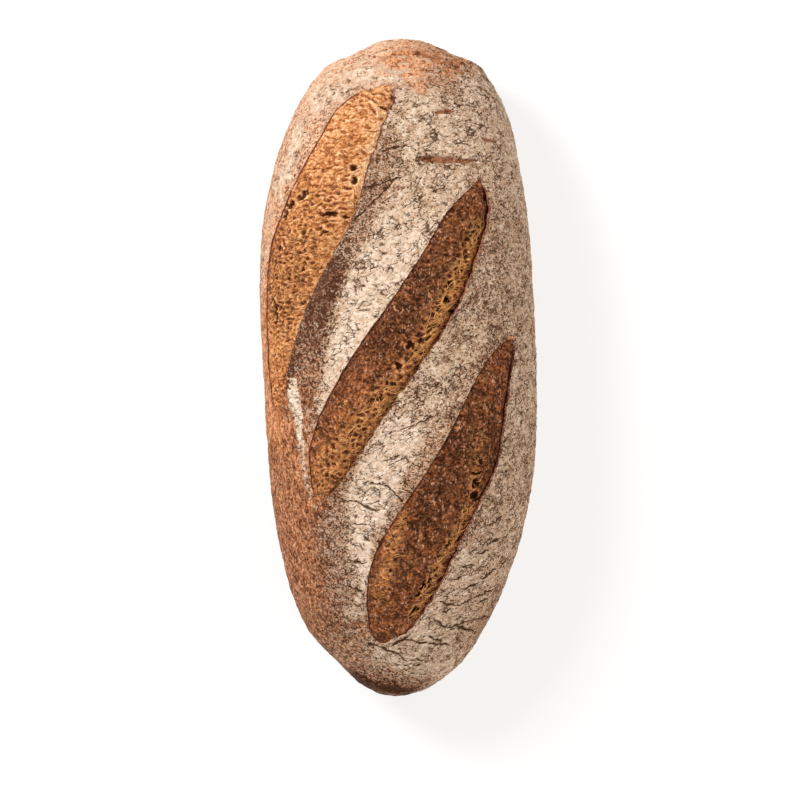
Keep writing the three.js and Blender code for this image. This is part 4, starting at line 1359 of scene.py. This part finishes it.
stage = {"cameraAt": (0.0007, -0.0148, 2.2), "viewWidth": 0.3642, "viewHeight": 0.034, "sensorWidth": 36,
         "floor": linear(140, 140, 140), "floorReach": 4, "floorGlow": 0.76, "world": 0.33,
         "key": {"at": (-0.78, 0.62, 0.98), "size": 0.45, "watts": 17, "colour": (1, 1, 1)},
         "fill": {"at": (0.9, -0.5, 0.9), "size": 1.1, "watts": 7, "colour": (1, 0.9, 0.8)}}


def areaLight(name, at, size, watts, colour):
    data = bpy.data.lights.new(name, "AREA")
    data.color = colour
    data.size = size
    data.energy = watts
    light = bpy.data.objects.new(name, data)
    light.location = at
    light.rotation_euler = (-light.location).to_track_quat("-Z", "Y").to_euler()
    bpy.context.scene.collection.objects.link(light)


def buildStage():
    floorMesh = bpy.data.meshes.new("floor")
    reach = stage["floorReach"]
    corners = [(-reach, -reach, 0), (reach, -reach, 0), (reach, reach, 0), (-reach, reach, 0)]
    floorMesh.from_pydata(corners, [], [(0, 1, 2, 3)])
    floor = bpy.data.objects.new("floor", floorMesh)
    bpy.context.scene.collection.objects.link(floor)
    paleFloor = bpy.data.materials.new("paleFloor")
    paleFloor.use_nodes = True
    shader = paleFloor.node_tree.nodes["Principled BSDF"].inputs
    shader["Base Color"].default_value = (*stage["floor"], 1)
    shader["Roughness"].default_value = 0.9
    shader["Emission Color"].default_value = (1, 1, 1, 1)
    shader["Emission Strength"].default_value = stage["floorGlow"]
    floorMesh.materials.append(paleFloor)
    for name in ("key", "fill"):
        areaLight(name, **stage[name])
    world = bpy.data.worlds.new("studio")
    world.use_nodes = True
    background = world.node_tree.nodes["Background"].inputs
    background["Color"].default_value = (1, 1, 1, 1)
    background["Strength"].default_value = stage["world"]
    bpy.context.scene.world = world
    cameraData = bpy.data.cameras.new("camera")
    cameraData.sensor_width = stage["sensorWidth"]
    distance = stage["cameraAt"][2] - stage["viewHeight"]
    cameraData.lens = cameraData.sensor_width * distance / stage["viewWidth"]
    camera = bpy.data.objects.new("camera", cameraData)
    camera.location = stage["cameraAt"]
    bpy.context.scene.collection.objects.link(camera)
    bpy.context.scene.camera = camera
    bpy.context.scene.view_settings.view_transform = "Standard"
    print("stage ready")


# Sets the dressed loaf in the middle of the frame's box, on the floor, and no larger than the box.
def settle(pieces):
    low, high = (np.array(corner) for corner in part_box("loaf"))
    everything = np.concatenate([meshPoints(piece) for piece in pieces]) * mm
    least, most = everything.min(0), everything.max(0)
    scale = np.minimum(1, (high - low) / (most - least))
    for piece in pieces:
        moved = (meshPoints(piece) * mm - (least + most) / 2) * scale + (low + high) / 2
        moved[:, 2] += low[2] - ((least[2] - most[2]) / 2 * scale[2] + (low[2] + high[2]) / 2)
        piece.data.vertices.foreach_set("co", moved.astype(np.float32).ravel())
        piece.data.update()
    print("loaf set into the frame's box, scaled by", scale.round(4))


buildStage()
speckle = bakedSpeckle()
crust = crustPiece(crustMaterial(speckle, flourDust(), hairCracks()))
floured = crust.data.materials[0]
pieces = [crust] + [landPiece(land, floured) for land in lands]
dough = doughMaterial(speckle)
doughs = [doughPiece(k, dough) for k in range(len(scores))]
pieces += [piece for piece, _, _ in doughs] + [strandPiece(doughs, strandMaterial())]
settle(pieces)

bpy.context.view_layer.update()
